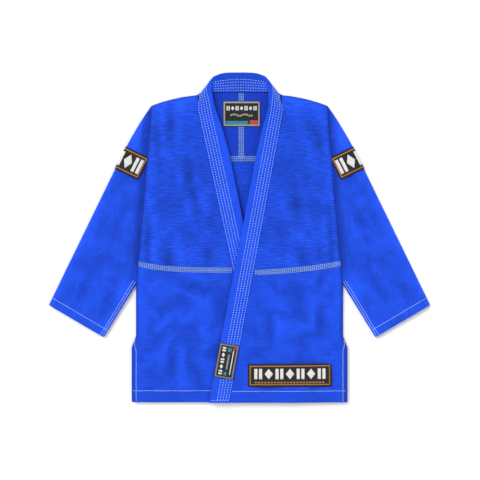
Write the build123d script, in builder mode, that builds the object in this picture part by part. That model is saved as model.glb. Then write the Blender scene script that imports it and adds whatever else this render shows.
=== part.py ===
"""Martial arts jacket laid flat on its back, the left front lapped over the right.

Millimetres.  The origin is under the middle of the jacket, on the table.
+X is the wearer's left, +Y is towards the collar and +Z is up from the table.
Points are given for the wearer's left half and mirrored for the right half.
"""
import os
from math import asin, atan2, degrees, hypot

from build123d import *

os.makedirs("parts", exist_ok=True)

# ---- driving dimensions -----------------------------------------------------------------------
CLOTH = 2.0             # pearl-weave cloth of body, skirt and sleeves
LINING = 1.2            # shoulder lining, facings and patches
TAPE = 0.8              # felled seams and woven labels
LIFT = 18.0             # height of the flattened body and sleeves
RIM = 12.0              # roll of the cloth along shoulder and side
SLEEVE_ROLL = 7.0       # roll of the cloth along the sleeve's folds
GAP = 0.5               # clearance between parts that move apart

HEM_Y = -434.0          # lower edge of the skirt
COLLAR_Y = 434.0        # top of the collar at centre back
NECK_SEAM_Y = 383.0     # collar seam at centre back
NECK = (112.0, 375.0)   # where shoulder and collar meet
SHOULDER_MID = (185.0, 361.0)
SHOULDER = (232.0, 345.0)
UNDERARM_Y = 100.0      # lower end of the armhole
HIP = (272.0, -121.0)   # the side runs straight down from here
VENT_Y = -262.0         # top of the side vent
FLARE = (283.0, -290.0) # the skirt stands out below the vent
HEM_X = 283.0

CUFF_OUTER = (501.0, -179.0)
CUFF_INNER = (358.0, -263.0)
SLEEVE_BEND = (316.0, 201.0)  # the sleeve's outer fold is straight from the cuff to here

FOLD_TOP = (115.0, 372.0)     # a front opens about the line from here ...
FOLD_END = (271.0, -258.0)    # ... to the top of the vent
COLLAR_CUT = 25.0             # distance below FOLD_TOP where lapel and collar part
HINGE_Z = 19.0
LAP_RISE = 10.5               # the upper front rises this much to clear the lower lapel ...
LAP_REACH = 170.0             # ... over this distance from its fold line

BAND = 10.0             # thickness of the cored collar band
COVER = 1.5             # collar cloth round the core
LOWER_BAND_Z = 0.0      # the band behind the neck lies on the table ...
UPPER_BAND_Z = 13.0     # ... and folds over on to the fronts
CREASE = ((104.0, 380.0), (74.0, 423.0))  # outer line of the collar's fold

CHEST_Y = 200.0         # lapels are straight from here to the hem
# x of the sewn edge and of the free edge of each lapel, at the chest and at the hem
LAPEL_EDGES = {"left": ((90.5, 41.0), (-27.0, -80.0)), "right": ((80.0, 22.5), (-60.0, -109.0))}
LAPEL_NECK = {"left": ((116.0, 345.0), (79.0, 350.0)), "right": ((110.5, 345.0), (68.5, 350.0))}

WAIST_SIDE_Y = -72.0    # waist seam at the side and at the lapel
WAIST_LAPEL_Y = -88.0
WAIST_SEAM = 14.0
HEM_DEPTH = 30.0
CUFF_DEPTH = 21.0

SIDES = (("left", 1), ("right", -1))


# ---- plane geometry ---------------------------------------------------------------------------
def unit(a, b):
    """Direction from point a to point b."""
    length = hypot(b[0] - a[0], b[1] - a[1])
    return ((b[0] - a[0]) / length, (b[1] - a[1]) / length)


def along(a, direction, distance):
    """The point at a distance from a in a direction."""
    return (a[0] + direction[0] * distance, a[1] + direction[1] * distance)


def x_on(a, b, y):
    """x of the line through a and b at a height y."""
    return a[0] + (b[0] - a[0]) * (y - a[1]) / (b[1] - a[1])


def left_of(direction):
    """The direction turned a quarter turn anticlockwise."""
    return (-direction[1], direction[0])


def meet(a, u, b, v):
    """Where the line from a along u meets the line from b along v."""
    t = ((b[0] - a[0]) * v[1] - (b[1] - a[1]) * v[0]) / (u[0] * v[1] - u[1] * v[0])
    return along(a, u, t)


FOLD_DIR = unit(FOLD_TOP, FOLD_END)
OUTBOARD = (-FOLD_DIR[1], FOLD_DIR[0])
CUT = along(FOLD_TOP, FOLD_DIR, COLLAR_CUT)
UNDERARM = (x_on(SHOULDER, HIP, UNDERARM_Y), UNDERARM_Y)
SLEEVE_DIR = unit(SLEEVE_BEND, CUFF_OUTER)
ARM_DIR = unit(SHOULDER, HIP)
CROWN_IN = (-0.82, -0.57)     # square to the sleeve's outer fold at the shoulder
FAR = 700.0


def waist_y(x):
    """The waist seam slopes a little from the side down to the lapel."""
    return WAIST_LAPEL_Y + (WAIST_SIDE_Y - WAIST_LAPEL_Y) * x / HIP[0]


def prism(points, bottom, top):
    """A straight-sided block over an outline of points."""
    with BuildPart() as block:
        with BuildSketch(Plane.XY.offset(bottom)):
            with BuildLine():
                Polyline(*points, close=True)
            make_face()
        extrude(amount=top - bottom)
    return block.part


def for_side(part, side):
    """The part itself for the wearer's left, its mirror image for the right."""
    return part if side > 0 else part.mirror(Plane.YZ)


def finish(piece, name):
    """Name a piece and write it out."""
    piece.part.label = name
    export_step(piece.part, f"parts/{name}.step")


# ---- regions that divide the jacket -----------------------------------------------------------
def region(points):
    """A tall block, used to keep the cloth inside an outline."""
    return prism(points, -50.0, 100.0)


def moving_region():
    """Everything inboard of a front's fold line and below the cut through the collar."""
    corner = along(along(CUT, OUTBOARD, -GAP), FOLD_DIR, GAP)
    vent = along(FOLD_END, OUTBOARD, -GAP)
    return region([corner, along(corner, OUTBOARD, -FAR), (-FAR, -FAR), (FAR, -FAR),
                   (FAR, FOLD_END[1] - GAP), (vent[0], FOLD_END[1] - GAP), vent])


def collar_region():
    """Everything above the cut through the collar."""
    return region([along(CUT, OUTBOARD, -FAR), along(CUT, OUTBOARD, FAR), (FAR, FAR), (-FAR, FAR)])


def above_waist(shift):
    """The body above the waist seam."""
    return region([(-FAR, waist_y(-FAR) + shift), (FAR, waist_y(FAR) + shift), (FAR, FAR), (-FAR, FAR)])


def below_waist(shift):
    """The skirt below the waist seam."""
    return region([(-FAR, -FAR), (FAR, -FAR), (FAR, waist_y(FAR) - shift), (-FAR, waist_y(-FAR) - shift)])


# ---- the flattened body -----------------------------------------------------------------------
def body_form(inset):
    """The left half of the body as a solid with rolled shoulder and side; inset is its inside."""
    base = CLOTH if inset == 0 else -1.0
    top = LIFT - inset
    mouth = 0.0 if inset == 0 else 20.0
    with BuildPart() as upper:
        with BuildSketch(Plane.XY.offset(base)):
            with BuildLine():
                shoulder = ThreePointArc((NECK[0] - 20, NECK[1] + 2 - inset),
                                         (SHOULDER_MID[0], SHOULDER_MID[1] - inset),
                                         (SHOULDER[0], SHOULDER[1] - inset))
                Polyline(shoulder @ 1, (SHOULDER[0] + mouth, SHOULDER[1] - inset),
                         (UNDERARM[0] + mouth, UNDERARM_Y), (NECK[0] - 20, UNDERARM_Y), shoulder @ 0)
            make_face()
        extrude(amount=top - base)
        fillet(upper.edges().sort_by_distance((SHOULDER_MID[0], SHOULDER_MID[1], top))[0], RIM - inset)
    with BuildPart() as form:
        with BuildSketch(Plane.XY.offset(base)):
            with BuildLine():
                Polyline((NECK[0] - 20, UNDERARM_Y), (UNDERARM[0] - inset, UNDERARM_Y),
                         (HIP[0] - inset, HIP[1]), (HIP[0] - inset, VENT_Y - 20),
                         (NECK[0] - 20, VENT_Y - 20), close=True)
            make_face()
            fillet(vertices().sort_by_distance(HIP)[0], 300)
        extrude(amount=top - base)
        side = [form.edges().sort_by_distance((x_on(SHOULDER, HIP, y), y, top))[0] for y in (60, -100)]
        side.append(form.edges().sort_by_distance((HIP[0], VENT_Y + 20, top))[0])
        fillet(list(dict.fromkeys(side)), RIM - inset)
        add(upper.part)
    return form.part


def hollow(outer, inner):
    """What is left of one solid when another is taken out of it."""
    with BuildPart() as shell:
        add(outer)
        add(inner, mode=Mode.SUBTRACT)
    return shell.part


def keep(part, *regions):
    """The part of a solid that lies inside every region."""
    with BuildPart() as kept:
        add(part)
        for block in regions:
            add(block, mode=Mode.INTERSECT)
    return kept.part


# ---- sleeves ----------------------------------------------------------------------------------
def sleeve_form(inset):
    """A flattened sleeve as a solid, run out past cuff and armhole; inset is its inside."""
    seam_dir = unit(HIP, CUFF_INNER)
    seam = along(HIP, left_of(seam_dir), inset)
    root = along((HIP[0] + GAP, HIP[1]), left_of(ARM_DIR), inset)
    bend = along(SLEEVE_BEND, left_of(SLEEVE_DIR), -inset)
    crown = along((SHOULDER[0] + GAP, SHOULDER[1]), CROWN_IN, inset)
    base, top = inset, LIFT - inset
    halves = []
    for inboard in (20.0, 0.0):
        hip = meet(along(root, left_of(ARM_DIR), -inboard), ARM_DIR, seam, seam_dir)
        with BuildPart() as form:
            with BuildSketch(Plane.XY.offset(base)):
                with BuildLine():
                    outer = Line(along(bend, SLEEVE_DIR, FAR), bend)
                    arc = TangentArc(bend, crown, tangent=outer % 1)
                    run_out = Line(arc @ 1, (arc @ 1) + (arc % 1) * 25)
                    Polyline(run_out @ 1, (SHOULDER[0] - 30, SHOULDER[1] + 5),
                             along(hip, ARM_DIR, HIP[1] - UNDERARM_Y), hip,
                             along(hip, seam_dir, FAR), along(bend, SLEEVE_DIR, FAR))
                make_face()
            extrude(amount=top - base)
            folds = [along(bend, SLEEVE_DIR, 200)] + [(p.X, p.Y) for p in (arc @ 0.5, run_out @ 0.5)]
            if inboard == 0:
                folds += [along(hip, seam_dir, 60), along(hip, ARM_DIR, -60)]
            rolled = [form.edges().sort_by_distance((x, y, z))[0] for x, y in folds for z in (base, top)]
            fillet(list(dict.fromkeys(rolled)), SLEEVE_ROLL - inset)
        halves.append(form.part)
    upper = keep(halves[0], region([(0, UNDERARM_Y), (FAR, UNDERARM_Y), (FAR, FAR), (0, FAR)]))
    lower = keep(halves[1], region([(0, UNDERARM_Y), (0, -FAR), (FAR, -FAR), (FAR, UNDERARM_Y)]))
    with BuildPart() as whole:
        add(upper)
        add(lower)
    return whole.part


CUFF_DIR = unit(CUFF_INNER, CUFF_OUTER)


def sleeve_region(from_cuff, to_cuff=FAR):
    """The sleeve from a distance above its cuff up to the armhole."""
    low = along(CUFF_INNER, SLEEVE_DIR, -from_cuff)
    high = along(CUFF_INNER, SLEEVE_DIR, -to_cuff)
    return region([along(low, CUFF_DIR, -300), along(low, CUFF_DIR, 400),
                   along(high, CUFF_DIR, 400), along(high, CUFF_DIR, -300)])


ARMHOLE = region([along((SHOULDER[0] + GAP, SHOULDER[1]), ARM_DIR, -200),
                  along((SHOULDER[0] + GAP, SHOULDER[1]), ARM_DIR, 900), (FAR, -FAR), (FAR, FAR)])
SLEEVE_SHELL = keep(hollow(sleeve_form(0), sleeve_form(CLOTH)), sleeve_region(0), ARMHOLE)


# ---- collar and lapels ------------------------------------------------------------------------
CREASE_DIR = unit(*CREASE)
CREASE_OUT = (CREASE_DIR[1], -CREASE_DIR[0])
CREASE_R = (UPPER_BAND_Z + BAND - LOWER_BAND_Z) / 2
CREASE_LOW = along(CREASE[0], CREASE_OUT, -CREASE_R)
CREASE_HIGH = along(CREASE[1], CREASE_OUT, -CREASE_R)


def sewn_edge(name, inset=0.0):
    """The lapel's sewn edge from the hem to the neck, drawn in the current line."""
    chest, hem = (edges[0] - inset for edges in LAPEL_EDGES[name])
    straight = Line((hem, HEM_Y), (chest, CHEST_Y))
    x, y = LAPEL_NECK[name][0]
    return TangentArc(straight @ 1, (x - inset, y), tangent=straight % 1)


def lapel_form(name, inset):
    """A lapel as a flat band from the collar's fold to the hem; inset is its core."""
    hem = HEM_Y + inset
    chest_x, hem_x = (edges[1] + inset for edges in LAPEL_EDGES[name])
    neck_x, neck_y = LAPEL_NECK[name][1]
    with BuildPart() as form:
        with BuildSketch(Plane.XY.offset(UPPER_BAND_Z + inset)):
            with BuildLine():
                neck = sewn_edge(name, inset)
                Polyline(neck @ 1, along(CREASE_LOW, CREASE_DIR, inset), along(CREASE_HIGH, CREASE_DIR, -inset))
                straight = Line((hem_x, HEM_Y), (chest_x, CHEST_Y))
                free = TangentArc(straight @ 1, (neck_x + inset, neck_y), tangent=straight % 1)
                TangentArc(free @ 1, along(CREASE_HIGH, CREASE_DIR, -inset), tangent=(0.05, 1))
                Line((hem_x, HEM_Y), (LAPEL_EDGES[name][1][0] - inset, HEM_Y))
            make_face()
        extrude(amount=BAND - 2 * inset)
    return keep(form.part, region([(-FAR, hem), (FAR, hem), (FAR, FAR), (-FAR, FAR)]))


def half_collar(name, inset):
    """Half the collar: flat behind the neck, rolled over at the crease, flat again on the front."""
    low = along(CREASE_LOW, CREASE_DIR, inset)
    high = along(CREASE_HIGH, CREASE_DIR, -inset)
    roll = Plane(origin=(*low, LOWER_BAND_Z + CREASE_R), x_dir=(*CREASE_OUT, 0), z_dir=(*CREASE_DIR, 0))
    with BuildPart() as form:
        with BuildSketch(Plane.XY.offset(LOWER_BAND_Z + inset)):
            with BuildLine():
                arch = TangentArc((0, COLLAR_Y - inset), high, tangent=(1, 0))
                Polyline(high, low, (60, NECK_SEAM_Y + inset), (0, NECK_SEAM_Y + inset), arch @ 0)
            make_face()
        extrude(amount=BAND - 2 * inset)
        with BuildSketch(roll):
            Circle(CREASE_R - inset)
            Circle(CREASE_R - BAND + inset, mode=Mode.SUBTRACT)
            Rectangle(2 * CREASE_R, 3 * CREASE_R, align=(Align.MIN, Align.CENTER), mode=Mode.INTERSECT)
        extrude(amount=hypot(high[0] - low[0], high[1] - low[1]))
        add(keep(lapel_form(name, inset), collar_region()))
    return form.part


def collar_form(inset):
    """The whole fixed collar."""
    with BuildPart() as form:
        for name, side in SIDES:
            add(for_side(half_collar(name, inset), side))
    return form.part


COLLAR = collar_form(0)
COLLAR_CORE = collar_form(COVER)

with BuildPart() as collar_shell:
    add(COLLAR)
    add(COLLAR_CORE, mode=Mode.SUBTRACT)
finish(collar_shell, "collar_shell")

with BuildPart() as collar_core:
    add(COLLAR_CORE)
finish(collar_core, "collar_core")


# ---- back -------------------------------------------------------------------------------------
def back_form(inset, bottom, top):
    """A layer over the whole back of the body, from the neck to the hip."""
    with BuildPart() as layer:
        with BuildSketch(Plane.XY.offset(bottom)):
            with BuildLine():
                left = ThreePointArc((NECK[0], NECK[1] - inset), (SHOULDER_MID[0], SHOULDER_MID[1] - inset),
                                     (SHOULDER[0] - inset, SHOULDER[1] - inset))
                right = ThreePointArc((-NECK[0], NECK[1] - inset), (-SHOULDER_MID[0], SHOULDER_MID[1] - inset),
                                      (-SHOULDER[0] + inset, SHOULDER[1] - inset))
                Polyline(left @ 1, (HIP[0] - inset, HIP[1]), (-HIP[0] + inset, HIP[1]), right @ 1)
                Polyline(left @ 0, (NECK[0] - 12, NECK_SEAM_Y - inset),
                         (12 - NECK[0], NECK_SEAM_Y - inset), right @ 0)
            make_face()
        extrude(amount=top - bottom)
    return hollow(layer.part, COLLAR)


def band_across(y, depth, bottom, top, reach=HIP[0] - 10):
    """A straight strip across the body, centred on a height."""
    return prism([(-reach, y - depth / 2), (reach, y - depth / 2),
                  (reach, y + depth / 2), (-reach, y + depth / 2)], bottom, top)


BACK_WAIST_Y = (WAIST_SIDE_Y + WAIST_LAPEL_Y) / 2
waist_x = x_on(SHOULDER, HIP, BACK_WAIST_Y)
YOKE_Y = 206.5          # cross seam of the shoulder lining
YOKE_SEAM = 15.0
CENTRE_SEAM = (-3.0, 12.0)
LABEL_TOP = CLOTH + LINING + TAPE

with BuildPart() as back_panel:
    add(back_form(0, 0, CLOTH))
    add(region([(-FAR, -FAR), (FAR, -FAR), (FAR, BACK_WAIST_Y), (-FAR, BACK_WAIST_Y)]), mode=Mode.SUBTRACT)
finish(back_panel, "back_panel")

with BuildPart() as back_skirt:
    with BuildSketch():
        with BuildLine():
            Polyline((-waist_x, BACK_WAIST_Y), (-HIP[0], HIP[1]), (-HIP[0], VENT_Y), (-FLARE[0], FLARE[1]),
                     (-HEM_X, HEM_Y), (HEM_X, HEM_Y), FLARE, (HIP[0], VENT_Y), HIP,
                     (waist_x, BACK_WAIST_Y), close=True)
        make_face()
    extrude(amount=CLOTH)
finish(back_skirt, "back_skirt")

with BuildPart() as back_waist_seam:
    add(band_across(BACK_WAIST_Y, WAIST_SEAM, CLOTH, CLOTH + TAPE))
finish(back_waist_seam, "back_waist_seam")

with BuildPart() as back_hem:
    add(band_across(HEM_Y + HEM_DEPTH / 2, HEM_DEPTH, CLOTH, CLOTH + LINING, HEM_X - 1))
finish(back_hem, "back_hem")

with BuildPart() as centre_back_seam:
    add(prism([(CENTRE_SEAM[0], YOKE_Y - YOKE_SEAM / 2), (CENTRE_SEAM[1], YOKE_Y - YOKE_SEAM / 2),
               (CENTRE_SEAM[1], NECK_SEAM_Y - 1), (CENTRE_SEAM[0], NECK_SEAM_Y - 1)], CLOTH, CLOTH + LINING))
finish(centre_back_seam, "centre_back_seam")

BODY_SHELL = hollow(hollow(body_form(0), body_form(CLOTH)), COLLAR)
LINING_FORM = back_form(4, CLOTH, CLOTH + LINING)
for _, side in SIDES:
    LINING_FORM = hollow(LINING_FORM, for_side(BODY_SHELL, side))
    LINING_FORM = hollow(LINING_FORM, for_side(region([(90, 372), (FAR, 372), (FAR, FAR), (90, FAR)]), side))
for name, inner, outer in (("left", CENTRE_SEAM[1], FAR), ("right", -FAR, CENTRE_SEAM[0])):
    with BuildPart() as lining:
        add(LINING_FORM)
        add(region([(inner, YOKE_Y + YOKE_SEAM / 2), (outer, YOKE_Y + YOKE_SEAM / 2), (outer, FAR), (inner, FAR)]),
            mode=Mode.INTERSECT)
    finish(lining, f"back_yoke_{name}")
    with BuildPart() as seam:
        add(LINING_FORM)
        add(region([(inner, YOKE_Y - YOKE_SEAM / 2), (outer, YOKE_Y - YOKE_SEAM / 2),
                    (outer, YOKE_Y + YOKE_SEAM / 2), (inner, YOKE_Y + YOKE_SEAM / 2)]), mode=Mode.INTERSECT)
    finish(seam, f"yoke_seam_{name}")

NECK_LABEL = (97.0, 66.0)
NECK_LABEL_AT = (5.6, 325.0)
with BuildPart() as neck_label:
    with BuildSketch(Plane.XY.offset(CLOTH + LINING)):
        with Locations(NECK_LABEL_AT):
            RectangleRounded(*NECK_LABEL, 2)
    extrude(amount=TAPE)
finish(neck_label, "neck_label")


# ---- fixed shoulder, side and vent pieces ------------------------------------------------------
GUSSET = region([(UNDERARM[0] + 20, UNDERARM_Y + 1), (UNDERARM[0] + 2, UNDERARM_Y + 1),
                 (UNDERARM[0] - 34, UNDERARM_Y - 55), (UNDERARM[0] + 20, UNDERARM_Y - 100)])
VENT_PATCH = [(HIP[0] - 34, VENT_Y + 8), (HIP[0] - 14, VENT_Y + 8), (HIP[0] - 14, VENT_Y - 22),
              (HIP[0] - 24, VENT_Y - 30), (HIP[0] - 34, VENT_Y - 22)]

for name, side in SIDES:
    neck_x, neck_y = LAPEL_NECK[name][0]
    FIXED = region([CUT, FOLD_END, (FAR, FOLD_END[1]), (FAR, FAR), (NECK[0] - 12, FAR),
                    (NECK[0] - 12, NECK[1] - 3), (neck_x, neck_y + 3)])
    with BuildPart() as shoulder:
        add(for_side(hollow(keep(BODY_SHELL, FIXED, above_waist(0)), GUSSET), side))
    finish(shoulder, f"front_shoulder_{name}")
    with BuildPart() as gusset:
        add(for_side(keep(BODY_SHELL, FIXED, above_waist(0), GUSSET), side))
    finish(gusset, f"underarm_gusset_{name}")
    with BuildPart() as gore:
        add(for_side(keep(BODY_SHELL, FIXED, below_waist(0)), side))
    finish(gore, f"side_gore_{name}")
    with BuildPart() as vent_patch:
        add(for_side(prism(VENT_PATCH, CLOTH, CLOTH + LINING), side))
    finish(vent_patch, f"vent_patch_{name}")


# ---- sleeves ----------------------------------------------------------------------------------
PATCH_LENGTH = 64.0         # along the sleeve
PATCH_REACH = 72.0          # in from the outer fold, which the patch wraps round
patch_low = along(SLEEVE_BEND, SLEEVE_DIR, 24.0)
patch_high = along(patch_low, SLEEVE_DIR, -PATCH_LENGTH)
PATCH = prism([along(point, left_of(SLEEVE_DIR), reach) for point, reach in
               ((patch_low, 30), (patch_high, 30), (patch_high, -PATCH_REACH), (patch_low, -PATCH_REACH))], 1, 60)
SEAM_DIR = unit(HIP, CUFF_INNER)
seam_top = along(along(HIP, left_of(SEAM_DIR), 8), SEAM_DIR, 14)
seam_low = along(along(CUFF_INNER, left_of(SEAM_DIR), 8), SEAM_DIR, -CUFF_DEPTH)
SLEEVE_SEAM = [seam_top, seam_low, along(seam_low, left_of(SEAM_DIR), 8), along(seam_top, left_of(SEAM_DIR), 8)]
SLEEVE_INSIDE = sleeve_form(CLOTH)
FACING_SHELL = keep(hollow(SLEEVE_INSIDE, sleeve_form(CLOTH + LINING)), sleeve_region(0, CUFF_DEPTH))

for name, side in SIDES:
    with BuildPart() as sleeve:
        add(for_side(SLEEVE_SHELL, side))
    finish(sleeve, f"{name}_sleeve")
    with BuildPart() as facing:
        add(for_side(FACING_SHELL, side))
    finish(facing, f"{name}_cuff_facing")
    with BuildPart() as patch:
        add(for_side(keep(hollow(sleeve_form(-TAPE), sleeve_form(0)), PATCH, sleeve_region(0), ARMHOLE), side))
    finish(patch, f"{name}_sleeve_patch")
    with BuildPart() as seam:
        add(for_side(prism(SLEEVE_SEAM, LIFT, LIFT + TAPE), side))
    finish(seam, f"{name}_sleeve_seam")


# ---- opening fronts ---------------------------------------------------------------------------
def lap_region(near, far):
    """The part of a front between two distances inboard of its fold line."""
    top = along(FOLD_TOP, FOLD_DIR, -FAR)
    low = along(FOLD_END, FOLD_DIR, FAR)
    return region([along(top, OUTBOARD, -near), along(top, OUTBOARD, -far),
                   along(low, OUTBOARD, -far), along(low, OUTBOARD, -near)])


LAP_SLOPE = lap_region(-100, LAP_REACH + 0.4)
LAP_LEVEL = lap_region(LAP_REACH, FAR)


def lapped(part, name):
    """The left front slopes up from its fold line, then lies level over the right one."""
    if name == "right":
        return part.mirror(Plane.YZ)
    axis = Axis((*FOLD_TOP, LIFT - CLOTH / 2), (-FOLD_DIR[0], -FOLD_DIR[1], 0))
    with BuildPart() as front:
        add(keep(part, LAP_SLOPE).rotate(axis, degrees(asin(LAP_RISE / LAP_REACH))))
        add(keep(part, LAP_LEVEL).moved(Location((0, 0, LAP_RISE))))
    return front.part


def front_layer(name, bottom, top):
    """A layer over a whole front, from the lapel's sewn edge out to the side."""
    with BuildPart() as layer:
        with BuildSketch(Plane.XY.offset(bottom)):
            with BuildLine():
                neck = sewn_edge(name)
                Polyline(neck @ 1, (HIP[0], LAPEL_NECK[name][0][1]), (HIP[0], VENT_Y), FLARE, (HEM_X, HEM_Y),
                         (LAPEL_EDGES[name][1][0], HEM_Y))
            make_face()
        extrude(amount=top - bottom)
    return layer.part


MOVING = moving_region()
SEAM_BAND = keep(above_waist(-WAIST_SEAM / 2), below_waist(-WAIST_SEAM / 2))
HEM_BAND = region([(-FAR, HEM_Y), (FAR, HEM_Y), (FAR, HEM_Y + HEM_DEPTH), (-FAR, HEM_Y + HEM_DEPTH)])

for name, side in SIDES:
    with BuildPart() as panel:
        add(lapped(keep(front_layer(name, LIFT - CLOTH, LIFT), MOVING, above_waist(0)), name))
    finish(panel, f"{name}_front_panel")
    with BuildPart() as skirt:
        add(lapped(keep(front_layer(name, LIFT - CLOTH, LIFT), MOVING, below_waist(0)), name))
    finish(skirt, f"{name}_front_skirt")
    with BuildPart() as waist_seam:
        add(lapped(keep(front_layer(name, LIFT, LIFT + TAPE), MOVING, SEAM_BAND), name))
    finish(waist_seam, f"{name}_waist_seam")
    with BuildPart() as hem:
        add(lapped(keep(front_layer(name, LIFT - CLOTH - LINING, LIFT - CLOTH), MOVING, HEM_BAND), name))
    finish(hem, f"{name}_front_hem")
    with BuildPart() as lapel_core:
        add(lapped(keep(lapel_form(name, COVER), MOVING), name))
    finish(lapel_core, f"{name}_lapel_core")
    with BuildPart() as lapel_shell:
        add(lapped(hollow(keep(lapel_form(name, 0), MOVING), lapel_form(name, COVER)), name))
    finish(lapel_shell, f"{name}_lapel_shell")

SKIRT_PATCH = (219.0, 59.0)
SKIRT_PATCH_AT = (132.0, -362.0)
LAPEL_LABEL = (50.0, 90.0)
LAPEL_LABEL_AT = (-34.0, -325.0)
lapel_turn = -degrees(atan2(LAPEL_EDGES["left"][0][0] - LAPEL_EDGES["left"][1][0], CHEST_Y - HEM_Y))

with BuildPart() as patch_flat:
    with BuildSketch(Plane.XY.offset(LIFT)):
        with Locations(SKIRT_PATCH_AT):
            RectangleRounded(*SKIRT_PATCH, 3)
    extrude(amount=TAPE)
with BuildPart() as skirt_patch:
    add(lapped(patch_flat.part, "left"))
finish(skirt_patch, "skirt_patch")

with BuildPart() as label_flat:
    with BuildSketch(Plane.XY.offset(UPPER_BAND_Z + BAND)):
        with Locations(Location((*LAPEL_LABEL_AT, 0), lapel_turn)):
            RectangleRounded(*LAPEL_LABEL, 2)
    extrude(amount=TAPE)
with BuildPart() as lapel_label:
    add(label_flat.part.moved(Location((0, 0, LAP_RISE))))
finish(lapel_label, "lapel_label")
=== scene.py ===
"""Martial arts jacket laid flat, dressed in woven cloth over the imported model.

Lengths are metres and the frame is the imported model's: +X is the wearer's left, +Y is
towards the collar and +Z is up from the table.  Shapes are worked out for the wearer's
left half and mirrored for the right half, whose lapel lies lower and further across.
"""

import math

import bmesh
import bpy
import numpy as np
from bpy.props import FloatProperty, FloatVectorProperty, IntProperty, PointerProperty
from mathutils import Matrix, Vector
from mathutils.bvhtree import BVHTree


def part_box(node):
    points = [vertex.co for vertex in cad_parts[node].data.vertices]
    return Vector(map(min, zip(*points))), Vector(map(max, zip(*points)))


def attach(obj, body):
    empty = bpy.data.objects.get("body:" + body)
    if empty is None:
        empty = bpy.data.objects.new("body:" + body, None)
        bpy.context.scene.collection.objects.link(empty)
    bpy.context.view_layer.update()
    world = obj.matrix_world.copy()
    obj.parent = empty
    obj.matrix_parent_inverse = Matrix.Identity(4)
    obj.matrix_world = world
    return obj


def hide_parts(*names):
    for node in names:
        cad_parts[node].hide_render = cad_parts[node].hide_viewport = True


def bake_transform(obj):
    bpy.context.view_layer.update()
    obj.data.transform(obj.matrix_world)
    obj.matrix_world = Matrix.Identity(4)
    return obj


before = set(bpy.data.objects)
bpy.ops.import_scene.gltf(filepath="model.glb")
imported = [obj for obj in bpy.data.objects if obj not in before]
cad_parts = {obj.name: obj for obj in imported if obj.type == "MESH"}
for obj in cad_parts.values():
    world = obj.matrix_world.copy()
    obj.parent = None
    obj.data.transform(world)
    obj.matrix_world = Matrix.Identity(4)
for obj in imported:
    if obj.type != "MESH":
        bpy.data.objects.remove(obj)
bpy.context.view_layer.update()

bl_info = {
    "name": "Martial Arts Jacket",
    "version": (1, 0, 0),
    "blender": (4, 5, 0),
    "location": "3D View > Sidebar > Jacket",
    "description": "Builds a woven martial arts jacket, laid flat, from its flat patterns",
    "category": "Object",
}

# ---- plane geometry --------------------------------------------------------------------------
def unit(v):
    """A vector, or each row of vectors, at length one."""
    return v / np.linalg.norm(v, axis=-1, keepdims=True)


def left_of(v):
    """A direction in plan turned a quarter turn to its left."""
    return np.array((-v[1], v[0]))


# ---- the cut of the jacket, from the frame ---------------------------------------------------
SLEEVE_LOW, SLEEVE_HIGH = (np.array(c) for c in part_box("left_sleeve"))
SKIRT_LOW, SKIRT_HIGH = (np.array(c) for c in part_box("back_skirt"))
COLLAR_HIGH = np.array(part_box("collar_shell")[1])
SIDES = (("left", 1), ("right", -1))

HEM_Y, HEM_X = SKIRT_LOW[1], SKIRT_HIGH[0]
COLLAR_Y, NECK_SEAM_Y = COLLAR_HIGH[1], 0.383
SHOULDER = np.array((SLEEVE_LOW[0] - 0.0005, SLEEVE_HIGH[1]))
NECK = np.array((0.112, 0.375))
SHOULDER_MID = np.array((0.185, 0.361))
SHOULDER_LINE = np.array((NECK, SHOULDER_MID, SHOULDER)).T
HIP = np.array((0.272, -0.121))
UNDERARM_Y, VENT_Y, YOKE_Y = 0.100, -0.262, 0.2065
FLARE = np.array((HEM_X, -0.290))
WAIST_SIDE_Y, WAIST_LAPEL_Y = -0.070, -0.088
BACK_WAIST_Y = (WAIST_SIDE_Y + WAIST_LAPEL_Y) / 2
WAIST = {"left": (-0.0935, 0.0245, 2.0), "right": (-0.0870, 0.0175, 4.0)}   # y at the middle, rise, bend

CUFF_OUTER = np.array((SLEEVE_HIGH[0], -0.179))
CUFF_INNER = np.array((0.358, SLEEVE_LOW[1]))
SLEEVE_BEND = np.array((0.316, 0.201))
SLEEVE_DIR = unit(CUFF_OUTER - SLEEVE_BEND)
UNDERARM_DIR = unit(CUFF_INNER - HIP)
CUFF_DIR = unit(CUFF_OUTER - CUFF_INNER)
ARMHOLE_OUT = unit(-left_of(SHOULDER - HIP))
SLEEVE_LENGTH, INSIDE_SLEEVE = 0.415, -0.0017      # the sleeve's length, and the cuff's place inside it
TUBE_HALF, TUBE_R = 0.0079, 0.007      # half height of a sleeve and the radius of its folded edges

# the line each front folds on, and where a lapel leaves the collar
FOLD_TOP = np.array((0.115, 0.372))
FOLD_END = np.array((0.271, -0.258))
FOLD_DIR = unit(FOLD_END - FOLD_TOP)
OUTBOARD = left_of(FOLD_DIR)
CUT = FOLD_TOP + FOLD_DIR * 0.025
LAP_RISE, LAP_REACH = 0.0105, 0.170    # how high the left front laps, and over what distance it rises

# sewn edge and free edge of each lapel: x at the hem, at the chest and at the neck
CHEST_Y, NECK_Y = 0.200, 0.345
LAPELS = {
    "left": ((-0.027, 0.0905, 0.116), (-0.080, 0.041, 0.0775)),
    "right": ((-0.060, 0.080, 0.1105), (-0.109, 0.0225, 0.0665)),
}
ROLL_LOW, ROLL_HIGH = np.array((0.0946, 0.3734)), np.array((0.0623, 0.4197))   # axis the collar rolls on
ROLL_Z, ROLL_R = 0.0115, 0.0065

TOP_Z, BACK_Z, LAPEL_Z = 0.017, 0.001, 0.018      # middle of the cloth of the fronts, back and lapels
UNDER_BAND = 0.004                                # how far a front runs in under the band
RIM = 0.011                                       # radius that a front rolls over its edges with
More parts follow.
